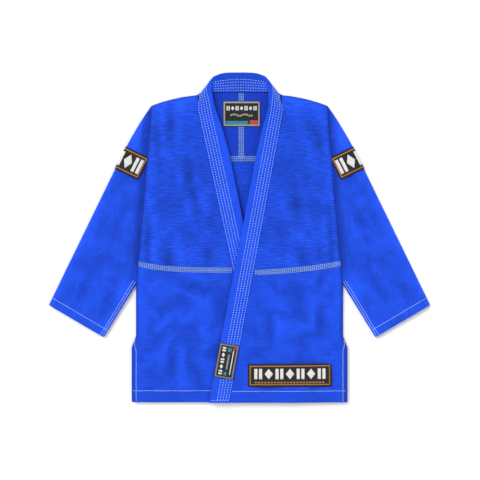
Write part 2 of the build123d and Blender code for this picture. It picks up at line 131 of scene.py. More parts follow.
# how far a front falls at its side beside the armhole, below it and below the vent, at its shoulder
# and anywhere
ARMHOLE_DROP, SIDE_DROP, VENT_DROP, SHOULDER_DROP, MOST_DROP = 0.0080, 0.0150, 0.0025, 0.0150, 0.0155
TURNED, INSIDE, TAPE = 0.0012, 0.0011, 0.0008     # thickness of turned cloth, inside trims and tape
PROUD = 0.0004                                    # how far stitches stand off the cloth

SKIRT_PATCH, SKIRT_PATCH_AT = (0.219, 0.059), (0.132, -0.362)
LAPEL_LABEL, LAPEL_LABEL_AT = (0.050, 0.090), (-0.034, -0.325)
NECK_LABEL, NECK_LABEL_AT = (0.097, 0.066), (0.0056, 0.325)
SLEEVE_PATCH, SLEEVE_PATCH_IN, SLEEVE_PATCH_DOWN = (0.090, 0.064), 0.027, 0.024
CLEAR_OF_SLEEVE, EDGING = 0.0009, 0.0017   # a patch's gap from the sleeve under it; edging stitch length

# soft creases: two ends in plan, how wide and how deep
CREASES = {
    "left": ((0.143, 0.116, 0.150, 0.055, 0.016, 0.0018), (0.163, -0.040, 0.168, -0.075, 0.018, 0.0020),
             (0.222, -0.100, 0.208, -0.130, 0.012, 0.0024), (0.082, -0.215, 0.080, -0.275, 0.014, 0.0018),
             (0.214, -0.200, 0.212, -0.245, 0.013, 0.0022), (0.190, 0.300, 0.222, 0.200, 0.018, 0.0016),
             (0.244, 0.060, 0.250, -0.060, 0.014, 0.0030), (0.150, -0.130, 0.160, -0.200, 0.016, 0.0014)),
    "right": ((0.179, 0.342, 0.183, 0.260, 0.014, 0.0024), (0.135, 0.181, 0.130, 0.121, 0.014, 0.0022),
              (0.114, 0.108, 0.110, 0.060, 0.013, 0.0022), (0.189, -0.030, 0.186, -0.075, 0.018, 0.0022),
              (0.079, -0.030, 0.084, -0.070, 0.017, 0.0018), (0.156, -0.113, 0.106, -0.139, 0.015, 0.0024),
              (0.176, -0.300, 0.172, -0.352, 0.015, 0.0020), (0.225, 0.290, 0.215, 0.200, 0.016, 0.0020),
              (0.242, 0.040, 0.246, -0.040, 0.013, 0.0028)),
}
SLEEVE_CREASES = {
    "left": ((0.300, 0.080, 0.330, 0.010, 0.014, 0.0026), (0.345, -0.090, 0.372, -0.150, 0.014, 0.0024),
             (0.280, 0.200, 0.292, 0.120, 0.014, 0.0022), (0.420, -0.100, 0.440, -0.160, 0.012, 0.0016)),
    "right": ((0.250, 0.318, 0.254, 0.240, 0.012, 0.0026), (0.338, -0.142, 0.352, -0.200, 0.015, 0.0026),
              (0.296, 0.090, 0.318, 0.020, 0.014, 0.0024), (0.400, -0.110, 0.418, -0.170, 0.012, 0.0018)),
}


# ---- settings --------------------------------------------------------------------------------
def length(name, description, default):
    """A length among the settings."""
    return FloatProperty(name=name, description=description, default=default, unit="LENGTH")


def tone(name, description, default):
    """A colour among the settings."""
    return FloatVectorProperty(name=name, description=description, default=default, subtype="COLOR",
                               min=0, max=1)
class JacketCut(bpy.types.PropertyGroup):
    """Sizes of the cloth, the band and the sewing."""

    cloth: length("Cloth", "Thickness of the jacket cloth", 0.0018)
    band: length("Collar band", "Thickness of the cored collar band", 0.0085)
    band_rows: IntProperty(name="Band rows", description="Rows of stitching on the collar band", default=5)
    row_gap: length("Row gap", "Distance between rows on the collar band", 0.0075)
    stitch: length("Stitch", "Length of one stitch", 0.0036)
    stitch_gap: length("Stitch gap", "Gap between two stitches", 0.0028)
    thread: length("Thread", "Thickness of the sewing thread", 0.0015)
    seam: length("Waist seam", "Width of the felled waist seam", 0.014)
    hem: length("Hem", "Depth of the turned-up hem", 0.030)
    cuff: length("Cuff", "Depth of the turned-in cuff", 0.021)
    crease: FloatProperty(name="Crease depth", description="How deep the soft creases are, 1 as laid out",
                          default=1.7)
    spare: FloatProperty(name="Spare cloth", description="How much larger the cloth is than its outline",
                         default=0.010, subtype="FACTOR")


class JacketColours(bpy.types.PropertyGroup):
    """Colours of the cloths and the trim."""

    body: tone("Body", "Pearl-weave cloth of the body", (0.014, 0.083, 0.80))
    skirt: tone("Skirt", "Lighter cloth of the skirt", (0.012, 0.072, 0.70))
    collar: tone("Collar", "Twill of the collar", (0.014, 0.083, 0.80))
    lining: tone("Lining", "Cloth inside the shoulders", (0.009, 0.050, 0.54))
    thread: tone("Thread", "Contrast sewing thread", (0.62, 0.86, 1.0))
    tape: tone("Seam tape", "Tape of the felled seams", (0.035, 0.11, 0.56))
    black: tone("Patch ground", "Ground of labels and patches", (0.010, 0.010, 0.012))
    copper: tone("Patch border", "Border of the patches", (0.50, 0.19, 0.055))


# ---- small tools -----------------------------------------------------------------------------
def lerp(a, b, t):
    """A mix of a and b."""
    return a + (b - a) * t


def smooth(x, low, high):
    """0 below low, 1 above high and an even curve between."""
    t = np.clip((x - low) / (high - low), 0, 1)
    return t * t * (3 - 2 * t)


def along(points, t):
    """Points at the fractions t of the length of a line through points."""
    points = np.asarray(points, float)
    run = np.concatenate(([0], np.cumsum(np.linalg.norm(np.diff(points, axis=0), axis=1))))
    return np.stack([np.interp(np.asarray(t) * run[-1], run, column) for column in points.T], -1)


def read_points(mesh):
    """The mesh's vertices as rows of an array."""
    points = np.empty(len(mesh.vertices) * 3)
    mesh.vertices.foreach_get("co", points)
    return points.reshape(-1, 3)


def write_points(mesh, points):
    """Puts rows of an array back as the mesh's vertices."""
    mesh.vertices.foreach_set("co", np.ascontiguousarray(points, dtype=float).ravel())
    mesh.update()


def link(mesh, name, *materials):
    """A smooth-shaded object for a mesh, in the scene."""
    piece = bpy.data.objects.new(name, mesh)
    bpy.context.scene.collection.objects.link(piece)
    for material in materials:
        mesh.materials.append(material)
    mesh.shade_smooth()
    return piece


def as_mesh(bm, name):
    """A new mesh from a bmesh, which is freed."""
    mesh = bpy.data.meshes.new(name)
    bm.to_mesh(mesh)
    bm.free()
    return mesh


def grid_mesh(name, columns, rows):
    """A flat grid, with the fractions u and v across it of its vertices."""
    bm = bmesh.new()
    bmesh.ops.create_grid(bm, x_segments=columns, y_segments=rows, size=0.5)
    mesh = as_mesh(bm, name)
    return mesh, *(read_points(mesh)[:, :2].T + 0.5)


def lay_pattern(mesh, pattern):
    """Keeps each vertex's place in the flat pattern as the mesh's UV map."""
    layer = mesh.uv_layers.new(name="Pattern")
    corners = np.empty(len(mesh.loops), dtype=np.int32)
    mesh.loops.foreach_get("vertex_index", corners)
    layer.data.foreach_set("uv", pattern[corners].astype(np.float32).ravel())


def mark(mesh, value):
    """Keeps the painted shade at each vertex in its Shade mark, from -1, painted lighter, to 1, painted
    darker.
    """
    layer = mesh.attributes.new("Shade", "FLOAT", "POINT")
    layer.data.foreach_set("value", value.astype(np.float32))


def grid(name, columns, rows, place, material, mirror=1):
    """A grid of cloth.  place(u, v) gives its points and its flat pattern, both 0 to 1 across."""
    mesh, u, v = grid_mesh(name, columns, rows)
    points, pattern = place(u, v)
    write_points(mesh, points * (mirror, 1, 1))
    lay_pattern(mesh, pattern)
    if mirror < 0:
        mesh.flip_normals()
    return link(mesh, name, material)


def join(mesh, distance, fill=False):
    """Joins vertices that meet, closes open ends where asked and turns the faces outward."""
    bm = bmesh.new()
    bm.from_mesh(mesh)
    bmesh.ops.remove_doubles(bm, verts=bm.verts, dist=distance)
    if fill:
        bmesh.ops.holes_fill(bm, edges=[e for e in bm.edges if e.is_boundary], sides=0)
    bmesh.ops.recalc_face_normals(bm, faces=bm.faces)
    bm.to_mesh(mesh)
    bm.free()


def settle(piece):
    """Applies a piece's modifiers to its mesh."""
    evaluated = piece.evaluated_get(bpy.context.evaluated_depsgraph_get())
    mesh = bpy.data.meshes.new_from_object(evaluated, preserve_all_data_layers=True,
                                           depsgraph=bpy.context.evaluated_depsgraph_get())
    piece.modifiers.clear()
    old, piece.data = piece.data, mesh
    mesh.name = old.name
    bpy.data.meshes.remove(old)


def thicken(piece, thickness):
    """Gives a sheet its thickness, half on each side."""
    solid = piece.modifiers.new("thickness", "SOLIDIFY")
    solid.thickness = thickness
    solid.offset = 0
    solid.use_even_offset = False
    settle(piece)


def relax(piece, held, spare, limit, frames=14):
    """Lets a sheet that is a little larger than its outline buckle into soft folds of its own.

    held is 1 where a point stays and 0 where it is free; limit caps how far a point moves."""
    start = read_points(piece.data)
    group = piece.vertex_groups.new(name="held")
    for weight in np.unique(np.round(held, 2)):
        if weight > 0:
            group.add(np.nonzero(np.round(held, 2) == weight)[0].tolist(), float(weight), "REPLACE")
    cloth = piece.modifiers.new("cloth", "CLOTH")
    for key, value in dict(quality=4, mass=0.3, tension_stiffness=30, compression_stiffness=30,
                           shear_stiffness=10, bending_stiffness=4, air_damping=3, shrink_min=-spare,
                           vertex_group_mass="held", pin_stiffness=1).items():
        setattr(cloth.settings, key, value)
    cloth.settings.effector_weights.gravity = 0
    cloth.collision_settings.use_collision = False
    cloth.point_cache.frame_end = frames
    scene = bpy.context.scene
    for number in range(1, frames + 1):
        scene.frame_set(number)
    settle(piece)
    scene.frame_set(1)
    moved = read_points(piece.data) - start
    far = np.linalg.norm(moved, axis=1, keepdims=True)
    free = (1 - held)[:, None]
    write_points(piece.data, start + moved * free * np.minimum(1, limit / np.maximum(far, 1e-9)))
    piece.vertex_groups.clear()


def shade(piece, extra=0.0, passes=260, depth=0.0035):
    """Paints shade into a sheet's hollows and paints its rises lighter, from how far each point lies below
    or above its smoothed neighbours.

    extra adds more painted shade, as where the cloth runs in under another piece."""
    mesh = piece.data
    z = read_points(mesh)[:, 2]
    ends = np.empty(len(mesh.edges) * 2, dtype=np.int32)
    mesh.edges.foreach_get("vertices", ends)
    a, b = ends.reshape(-1, 2).T
    count = np.bincount(ends, minlength=len(z))
    even = z.copy()
    for _ in range(passes):
        total = np.bincount(a, even[b], len(z)) + np.bincount(b, even[a], len(z))
        even = 0.5 * even + 0.5 * total / count
    mark(mesh, np.clip((even - z) / depth + extra, -1, 1))


def surface(*pieces):
    """A function that gives the height and normal of pieces seen from above."""
    trees = []
    for piece in pieces:
        bm = bmesh.new()
        bm.from_mesh(piece.data)
        trees.append(BVHTree.FromBMesh(bm))
        bm.free()

    def look(x, y):
        """The highest point of the pieces at x, y, or None where there is nothing."""
        best = None
        for tree in trees:
            point, normal, _, _ = tree.ray_cast(Vector((x, y, 1)), Vector((0, 0, -1)))
            if point is not None and (best is None or point.z > best[0].z):
                best = (point, normal)
        return best

    return look


def heights(look, x, y):
    """Heights of what lies at x, y; a point just off an edge takes the nearest known height."""
    z = np.array([found[0].z if found else np.nan for found in map(look, x, y)])
    for i in np.nonzero(np.isnan(z))[0]:
        z[i] = z[np.nanargmin(np.where(np.isnan(z), np.nan, np.hypot(x - x[i], y - y[i])))]
    return z


def drape(piece, look, lift):
    """Lowers a flat piece on to what lies under it, lift above it."""
    points = read_points(piece.data)
    points[:, 2] += heights(look, points[:, 0], points[:, 1]) + lift
    write_points(piece.data, points)


def laid(path, look):
    """A path in plan laid on a surface: its points and the surface's normals there."""
    points, normals = [], []
    for point, normal in filter(None, (look(x, y) for x, y in path)):
        points.append(point + normal * PROUD)
        normals.append(normal)
    return np.array(points), np.array(normals)


def sew(name, paths, material, length, gap, thickness, lean=0.0):
    """Rows of stitches.  Each path is points and the normals of the cloth under them.

    lean turns each stitch a little from its row, as on a zigzag or a lock stitch."""
    bm = bmesh.new()
    bmesh.ops.create_uvsphere(bm, u_segments=6, v_segments=4, radius=0.5)
    stitch = as_mesh(bm, "stitch")
    shape = read_points(stitch) * (thickness, thickness * 0.75, length)
    rows = bmesh.new()
    for points, normals in paths:
        if len(points) < 2:
            continue
        run = np.linalg.norm(np.diff(points, axis=0), axis=1).sum()
        count = max(1, int(run / (length + gap)))
        t = (np.arange(count) + 0.5) / count
        half = 0.5 * length / run
        centre = along(points, t)
        ahead = unit(along(points, np.clip(t + half, 0, 1)) - along(points, np.clip(t - half, 0, 1)))
        spots = np.linspace(0, 1, len(normals))
        up = unit(np.stack([np.interp(t, spots, column) for column in normals.T], -1))
        across = unit(np.cross(ahead, up))
        up = np.cross(across, ahead)
        for i in range(count):
            forward = unit(ahead[i] + across[i] * lean * (1 if i % 2 else -1))
            sideways = np.cross(forward, up[i])
            write_points(stitch, shape @ np.stack([sideways, up[i], forward]) + centre[i])
            rows.from_mesh(stitch)
    bpy.data.meshes.remove(stitch)
    return link(as_mesh(rows, name), name, material)


def bend(piece, name, part, middle, direction, before, after):
    """Bakes a piece's placement into its mesh; it doesn't bend the piece.

    before and after are not used."""
    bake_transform(piece)


def across_fold(piece, name):
    """Passes a piece of a front to bend, with that front's fold line; the piece is not bent."""
    bend(piece, name, "front", FOLD_TOP + FOLD_DIR * 0.3, OUTBOARD, 0.010, -0.012)


def across_cut(piece, name):
    """Passes a lapel piece to bend, with the line where the lapel leaves the collar; the piece is not bent.
    """
    bend(piece, name, "front", CUT, FOLD_DIR, -0.012, 0.016)


def across_armhole(piece, name):
    """Passes a sleeve piece to bend, with its armhole line; the piece is not bent."""
    bend(piece, name, "sleeve", lerp(SHOULDER, HIP, 0.5), ARMHOLE_OUT, 0.0005, 0.020)


# ---- cloths and threads ----------------------------------------------------------------------
class Shades:
    """Adds nodes to one material; every call gives the new node's output."""

    def __init__(self, name):
        self.material = bpy.data.materials.new(name)
        self.material.use_nodes = True
        self.nodes, self.links = self.material.node_tree.nodes, self.material.node_tree.links
        self.nodes.clear()

    def add(self, kind, inputs=(), output=0, **settings):
        """One node; inputs maps its sockets to values or to other nodes' outputs."""
        node = self.nodes.new("ShaderNode" + kind)
        for key, value in settings.items():
            setattr(node, key, value)
        for key, value in dict(inputs).items():
            if isinstance(value, bpy.types.NodeSocket):
                self.links.new(value, node.inputs[key])
            else:
                node.inputs[key].default_value = value
        return node.outputs[output] if node.outputs else None

    def sum(self, operation, a, b):
        """One step of arithmetic."""
        return self.add("Math", {0: a, 1: b}, operation=operation)

    def scaled(self, coordinates, x, y):
        """Coordinates stretched along each axis."""
        return self.add("Mapping", {"Vector": coordinates, "Scale": (x, y, 1)})

    def noise(self, vector, scale, detail=2.0, roughness=0.5):
        """Soft noise, 0 to 1."""
        return self.add("TexNoise", {"Vector": vector, "Scale": scale, "Detail": detail,
                                     "Roughness": roughness})

    def span(self, value, low, high, to_low, to_high, kind="SMOOTHSTEP"):
        """A value moved from one range to another."""
        return self.add("MapRange", {"Value": value, 1: low, 2: high, 3: to_low, 4: to_high},
                        interpolation_type=kind)

    def tint(self, colour, value):
        """A colour times a value, with painted shade: darker in the cloth's hollows, lighter on its rises.
        """
        painted_shade = self.add("Attribute", output=2, attribute_name="Shade")
        # painted shade from the Shade mark: -1 brightens the colour to 1.32 times, 1 darkens it to 0.62
        # times
        value = self.sum("MULTIPLY", value, self.span(painted_shade, -1, 1, 1.32, 0.62, "LINEAR"))
        return self.add("VectorMath", {0: tuple(colour), "Scale": value}, operation="SCALE")

    def finish(self, colour, height, depth, roughness=0.9, sheen=0.03, specular=0.12):
        """Joins colour and height into the surface and hands the material over."""
        bump = self.add("Bump", {"Height": height, "Distance": depth, "Strength": 1.0})
        shader = self.add("BsdfPrincipled", {"Base Color": colour, "Roughness": roughness, "Normal": bump,
                                             "Sheen Weight": sheen, "Specular IOR Level": specular})
        self.add("OutputMaterial", {"Surface": shader})
        return self.material


def pearl_weave(name, colour, bright=1.0, contrast=0.42):
    """Pearl weave: grains under uneven ribs that run across the pattern.

    contrast is how much deeper the rows between the ribs are."""
    s = Shades(name)
    pattern = s.add("UVMap", uv_map="Pattern")
    grains = s.add("TexBrick", {"Vector": pattern, "Scale": 220.0, "Mortar Size": 0.09, "Mortar Smooth": 1.0,
                                "Brick Width": 0.95, "Row Height": 0.55}, output=1)
    rows = s.noise(s.scaled(pattern, 42.0, 300.0), 1.0, 3.0, 0.65)
    rows = s.span(rows, 0.36, 0.60, 0.0, 1.0)
    patches = s.noise(pattern, 9.0, 4.0, 0.6)
    fuzz = s.noise(pattern, 1900.0, 2.0)
    lines = s.add("TexWave", {"Vector": s.scaled(pattern, 12.0, 52.0), "Scale": 1.0, "Distortion": 4.5,
                              "Detail": 3.0, "Detail Scale": 2.2}, output=1, bands_direction="Y")
    value = s.sum("MULTIPLY_ADD", s.sum("MULTIPLY", rows, s.span(lines, 0.0, 0.7, 0.5, 1.0)), contrast)
    value.node.inputs[2].default_value = 1.0 - contrast * 0.55
    value = s.sum("MULTIPLY", value, s.span(patches, 0.3, 0.7, 0.84, 1.12))
    value = s.sum("MULTIPLY", value, s.span(grains, 0.0, 1.0, 1.05, 0.72))
    value = s.sum("MULTIPLY", value, s.span(fuzz, 0.3, 0.7, 0.94, 1.05))
    height = s.sum("ADD", s.sum("MULTIPLY", rows, 0.8), s.sum("SUBTRACT", 1.0, grains))
    return s.finish(s.tint([part * bright for part in colour], value), height, 0.0007)


def twill(name, colour, pitch=0.0011, contrast=0.12, ribs_run="DIAGONAL"):
    """Fine twill: slanting ribs crossed by uneven yarns, or a plain ribbed cloth with ribs_run "Y"."""
    s = Shades(name)
    pattern = s.add("UVMap", uv_map="Pattern")
    ribs = s.add("TexWave", {"Vector": pattern, "Scale": 0.155 / pitch, "Distortion": 0.8, "Detail": 1.0,
                             "Detail Scale": 4.0}, output=1, bands_direction=ribs_run)
    yarns = s.add("TexWave", {"Vector": pattern, "Scale": 0.095 / pitch, "Distortion": 1.2,
                              "Detail Scale": 6.0}, output=1, bands_direction="Y")
    wide = s.span(s.noise(s.scaled(pattern, 40.0, 300.0), 1.0, 3.0, 0.6), 0.3, 0.7, 0.88, 1.06)
    tall = s.span(s.noise(s.scaled(pattern, 300.0, 40.0), 1.0, 3.0, 0.6), 0.3, 0.7, 0.94, 1.04)
    patches = s.noise(pattern, 11.0, 4.0, 0.6)
    value = s.sum("MULTIPLY", s.span(ribs, 0, 1, 1 - contrast, 1.04), s.sum("MULTIPLY", wide, tall))
    value = s.sum("MULTIPLY", value, s.span(patches, 0.3, 0.7, 0.92, 1.06))
    height = s.sum("ADD", ribs, s.sum("MULTIPLY", yarns, 0.6))
    return s.finish(s.tint(colour, value), height, 0.00035)


def thread_cloth(name, colour, pitch=0.0006):
    """Threads laid side by side, as in embroidery, tape and woven labels."""
    s = Shades(name)
    pattern = s.add("UVMap", uv_map="Pattern")
    threads = s.add("TexWave", {"Vector": pattern, "Scale": 0.157 / pitch, "Distortion": 0.6,
                                "Detail Scale": 3.0}, output=1, bands_direction="X")
    wear = s.noise(pattern, 120.0, 3.0, 0.6)
    value = s.sum("MULTIPLY", s.span(threads, 0, 1, 0.80, 1.05), s.span(wear, 0.3, 0.7, 0.90, 1.05))
    return s.finish(s.tint(colour, value), threads, 0.0003, 0.7, 0.05, 0.35)


def spun_thread(name, colour):
    """Sewing thread, with a slight twist along each stitch."""
    s = Shades(name)
    place = s.add("TexCoord", output=3)
    twist = s.noise(place, 900.0, 2.0, 0.7)
    wear = s.noise(place, 35.0, 3.0, 0.6)
    value = s.sum("MULTIPLY", s.span(twist, 0.25, 0.75, 0.86, 1.05), s.span(wear, 0.3, 0.7, 0.90, 1.04))
    return s.finish(s.tint(colour, value), twist, 0.0002, 0.6, 0.1, 0.3)


# each kind's maker, its colour, as a setting's name or plain red, green and blue, and its own figures
MATERIALS = {
    "body cloth": (pearl_weave, "body", {}),
    "sleeve cloth": (pearl_weave, "body", {"bright": 1.04, "contrast": 0.20}),
    "skirt cloth": (twill, "skirt", {"pitch": 0.0016, "contrast": 0.16, "ribs_run": "Y"}),
    "collar twill": (twill, "collar", {}),
    "lining cloth": (twill, "lining", {"pitch": 0.0012, "contrast": 0.14}),
    "seam tape": (thread_cloth, "tape", {"pitch": 0.0012}),
    "white thread": (spun_thread, "thread", {}),
    "dark thread": (spun_thread, "black", {}),
    "black ground": (thread_cloth, "black", {"pitch": 0.0008}),
    "copper satin": (thread_cloth, "copper", {}),
    "white satin": (thread_cloth, (0.80, 0.80, 0.79), {}),
    "sand border": (thread_cloth, (0.42, 0.37, 0.31), {}),
    "stone border": (thread_cloth, (0.22, 0.20, 0.18), {}),
    "teal satin": (thread_cloth, (0.02, 0.26, 0.30), {}),
    "red satin": (thread_cloth, (0.62, 0.06, 0.05), {}),
    "grey satin": (thread_cloth, (0.25, 0.27, 0.30), {}),
}


def material(kind):
    """The material of that kind, made the first time it is asked for."""
    maker, colour, figures = MATERIALS[kind]
    if isinstance(colour, str):
        colour = getattr(bpy.context.scene.jacket_colours, colour)
    return bpy.data.materials.get(kind) or maker(kind, colour, **figures)


# ---- shape of the jacket ---------------------------------------------------------------------
def lapel_x(name, edge, y):
    """x of a lapel's sewn edge (0) or free edge (1): straight to the chest, then curved to the neck."""
    hem, chest, neck = LAPELS[name][edge]
    slope = (chest - hem) / (CHEST_Y - HEM_Y)
    bend = (neck - chest - slope * (NECK_Y - CHEST_Y)) / (NECK_Y - CHEST_Y) ** 2
    return chest + slope * (y - CHEST_Y) + bend * np.maximum(y - CHEST_Y, 0) ** 2


def lap(name, x, y):
    """How much higher the left front lies, since it laps over the right one."""
    if name == "right":
        return np.zeros_like(np.asarray(x, float))
    inboard = (FOLD_TOP[0] - x) * OUTBOARD[0] + (FOLD_TOP[1] - y) * OUTBOARD[1]
    return LAP_RISE * np.clip(inboard / LAP_REACH, 0, 1)


def waist_y(name, x):
    """The waist seam runs level from the lapel and curves up to the side."""
    middle, rise, bend = WAIST[name]
    return middle + rise * np.clip(x / HIP[0], 0, 1) ** bend


def side_x(y):
    """x of the body's side: the armhole, the straight side and the flare below the vent."""
    return np.interp(y, (HEM_Y, FLARE[1], VENT_Y, HIP[1], SHOULDER[1]),
                     (HEM_X, FLARE[0], HIP[0], HIP[0], SHOULDER[0]))


def dips(x, y, creases):
    """How far soft creases lower the cloth at x, y."""
    fall = np.zeros_like(x)
    for x0, y0, x1, y1, wide, deep in creases:
        run = np.array((x1 - x0, y1 - y0))
        t = np.clip(((x - x0) * run[0] + (y - y0) * run[1]) / (run @ run), -0.25, 1.25)
        away = np.hypot(x - x0 - t * run[0], y - y0 - t * run[1]) / wide
        bow = 1 - 0.35 * np.abs(2 * t - 1)
        fall += deep * bow * (np.exp(-away ** 2) - 0.45 * np.exp(-((away - 1.7) / 0.9) ** 2))
    return fall * bpy.context.scene.jacket_cut.crease


def ripple(x, y, seed):
    """The cloth's slow rise and fall, a few tenths of a millimetre to a millimetre."""
    rng = np.random.default_rng(seed)
    rise = np.zeros_like(x)
    for _ in range(14):
        angle, pitch, phase = rng.uniform(0, math.pi), rng.uniform(0.035, 0.13), rng.uniform(0, 6.28)
        rise += pitch / 0.1 * np.sin(6.283 / pitch * (x * math.cos(angle) + y * math.sin(angle)) + phase)
    return rise * 0.00016 * bpy.context.scene.jacket_cut.crease


def coons(low, high, left, right, u, v):
    """Points inside four edges; low and high run with u, left and right with v."""
    u, v = u[:, None], v[:, None]
    ends = lerp(lerp(low[0], low[-1], u), lerp(high[0], high[-1], u), v)
    return lerp(along(low, u[:, 0]), along(high, u[:, 0]), v) + \
        lerp(along(left, v[:, 0]), along(right, v[:, 0]), u) - ends


def over_edge(t, size, drop):
    """Rolls cloth over an edge that it falls from by drop; t runs from 0 to 1 over its flat cut.

    size is its length in plan.  Gives the fraction of that length, the fall, and the cloth in the roll."""
    angle = np.arccos(np.clip(1 - drop / RIM, 0, 1))
    cloth, reach = RIM * angle + np.maximum(drop - RIM, 0), RIM * np.sin(angle)
    s = t * (size + cloth - reach) - (size - reach)
    turn = np.clip(s / RIM, 0, angle)
    out = np.where(s < 0, s, RIM * np.sin(turn))
    fall = RIM * (1 - np.cos(turn)) + np.maximum(s - RIM * angle, 0) * (drop > RIM)
    return np.clip((size - reach + out) / size, 0, 1), fall, np.where(s > 0, s - out, 0)


def apart(a, b, t):
    """Distance between two edges at the fraction t of each."""
    spots = np.linspace(0, 1, 50)
    return np.interp(t, spots, np.linalg.norm(along(b, spots) - along(a, spots), axis=1))


def edge_points(x_of, low, high, count=40):
    """The line of an edge between two heights."""
    y = np.linspace(low, high, count)
    return np.stack([x_of(y), y], -1)


def front_edges(name, part):
    """Lower, upper, inner and outer edge of a front panel or skirt in plan."""
    sewn = lambda y: lapel_x(name, 0, y) - UNDER_BAND
    x = np.linspace(sewn(WAIST[name][0]), side_x(WAIST_SIDE_Y), 60)
    waist = np.stack([x, waist_y(name, x)], -1)
    waist[-1, 1] = WAIST_SIDE_Y
    if part == "skirt":
        left = edge_points(sewn, HEM_Y, WAIST[name][0])
        right = edge_points(side_x, HEM_Y, WAIST_SIDE_Y, 160)
        return np.array((left[0], right[0])), waist, left, right
    corner = NECK - 0.002
    x = np.linspace(corner[0], SHOULDER[0], 30)
    shoulder = np.stack([x, np.polyval(np.polyfit(*SHOULDER_LINE, 2), x)], -1)
    left = np.vstack([edge_points(sewn, WAIST[name][0], NECK_Y), [corner]])
    return waist, shoulder, left, edge_points(side_x, WAIST_SIDE_Y, SHOULDER[1])


def front_place(name, part):
    """The mapping of a front panel or skirt from its flat cut to its place on the jacket."""
    low, high, left, right = front_edges(name, part)
    seed = {"left": 3, "right": 8}[name] + len(part)

    def place(u, v):
        """Points and flat pattern of the front."""
        y = coons(low, high, left, right, u, v)[:, 1]
        if part == "panel":
            drop = lerp(SIDE_DROP, ARMHOLE_DROP, smooth(y, UNDERARM_Y - 0.03, UNDERARM_Y + 0.03))
        else:
            drop = lerp(VENT_DROP, SIDE_DROP, smooth(y, VENT_Y - 0.012, VENT_Y + 0.020))
        across, fall, beyond = over_edge(u, apart(left, right, v), drop)
        up, above = v, np.zeros_like(v)
        if part == "panel":
            up, top_fall, above = over_edge(v, apart(low, high, u), SHOULDER_DROP)
            fall = fall + top_fall
        plan = coons(low, high, left, right, across, up)
        x, y = plan.T
        flat = smooth(side_x(y) - x, 0.0, 0.03)
        z = TOP_Z + lap(name, x, y) - np.minimum(fall, MOST_DROP)
        z += (ripple(x, y, seed) - dips(x, y, CREASES[name])) * flat
        return np.stack([x, y, z], -1), plan + np.stack([beyond, above], -1)

    return place


def tube_edges(v):
    """The sleeve's inner and outer fold at the fraction v of its length."""
    q = SHOULDER - SLEEVE_BEND
    side = -left_of(SLEEVE_DIR)
    radius = (q @ q) / (2 * (q @ side))
    centre = SLEEVE_BEND + side * radius
    a, b = (math.atan2(*(p - centre)[::-1]) for p in (SHOULDER, SLEEVE_BEND))
    if abs(b - a) > math.pi:
        b += math.copysign(2 * math.pi, a - b)
    sweep = np.linspace(a, b, 24)
    arc = centre + abs(radius) * np.stack([np.cos(sweep), np.sin(sweep)], -1)
    outer = along(np.vstack([arc, [CUFF_OUTER]]), v)
    inner = along(np.array((HIP + (-0.001, 0.0), CUFF_INNER)), v)
    return inner, outer


def round_fold(near, radius, half):
    """How far in and how high the cloth is at a distance near round a tube's fold, and its turn there."""
    stand = half - radius
    turn = np.clip((near - stand) / radius, 0, math.pi / 2)
    inward = radius * (1 - np.cos(turn)) + np.maximum(near - stand - radius * math.pi / 2, 0)
    return inward, np.clip(near, 0, stand) + radius * np.sin(turn), turn


def tube(name, d, v, lift=0.0):
    """A point of the sleeve: d is the distance round it from its outer fold, plus over the top."""
    inner, outer = tube_edges(v)
    across = outer - inner
    width = np.linalg.norm(across, axis=1)
    radius, half = TUBE_R + lift, TUBE_HALF + lift
    total = 2 * (half - radius) + radius * math.pi + width + 2 * lift - 2 * radius
    e, z, _ = round_fold(np.minimum(np.abs(d), total - np.abs(d)), radius, half)
    e = np.where(np.abs(d) <= total / 2, width + lift - e, e - lift)
    plan = inner + across / width[:, None] * e[:, None]
    full = 0.50 + 0.50 * smooth((plan - HIP) @ ARMHOLE_OUT, -0.004, 0.022)
    x, y = plan.T
    inside = smooth(np.minimum(e, width - e), 0.0, 0.03)
    wave = (ripple(x, y, 21 + len(name)) - dips(x, y, SLEEVE_CREASES[name])) * inside * (d > 0)
    return np.stack([x, y, 0.001 + (np.where(d > 0, z, -z) + TUBE_HALF) * full + wave], -1), total


def sleeve_place(name, lift=0.0, start=0.0):
    """The mapping of a sleeve, or of the cuff inside it, from its flat cut to its place."""
    def place(u, v):
        """Points and flat pattern of the sleeve."""
        v = start + v * (1 - start)
        total = tube(name, np.zeros_like(v), v, lift)[1]
        d = (u - 0.5) * 2 * total
        points, _ = tube(name, np.clip(d, -total * 0.99999, total * 0.99999), v, lift)
        inner, outer = tube_edges(v)
        flat = outer + unit(inner - outer) * np.abs(d)[:, None]
        across = (SLEEVE_BEND - flat) @ left_of(SLEEVE_DIR)
        return points, np.stack([flat @ SLEEVE_DIR, np.where(d < 0, -across, across)], -1)

    return place


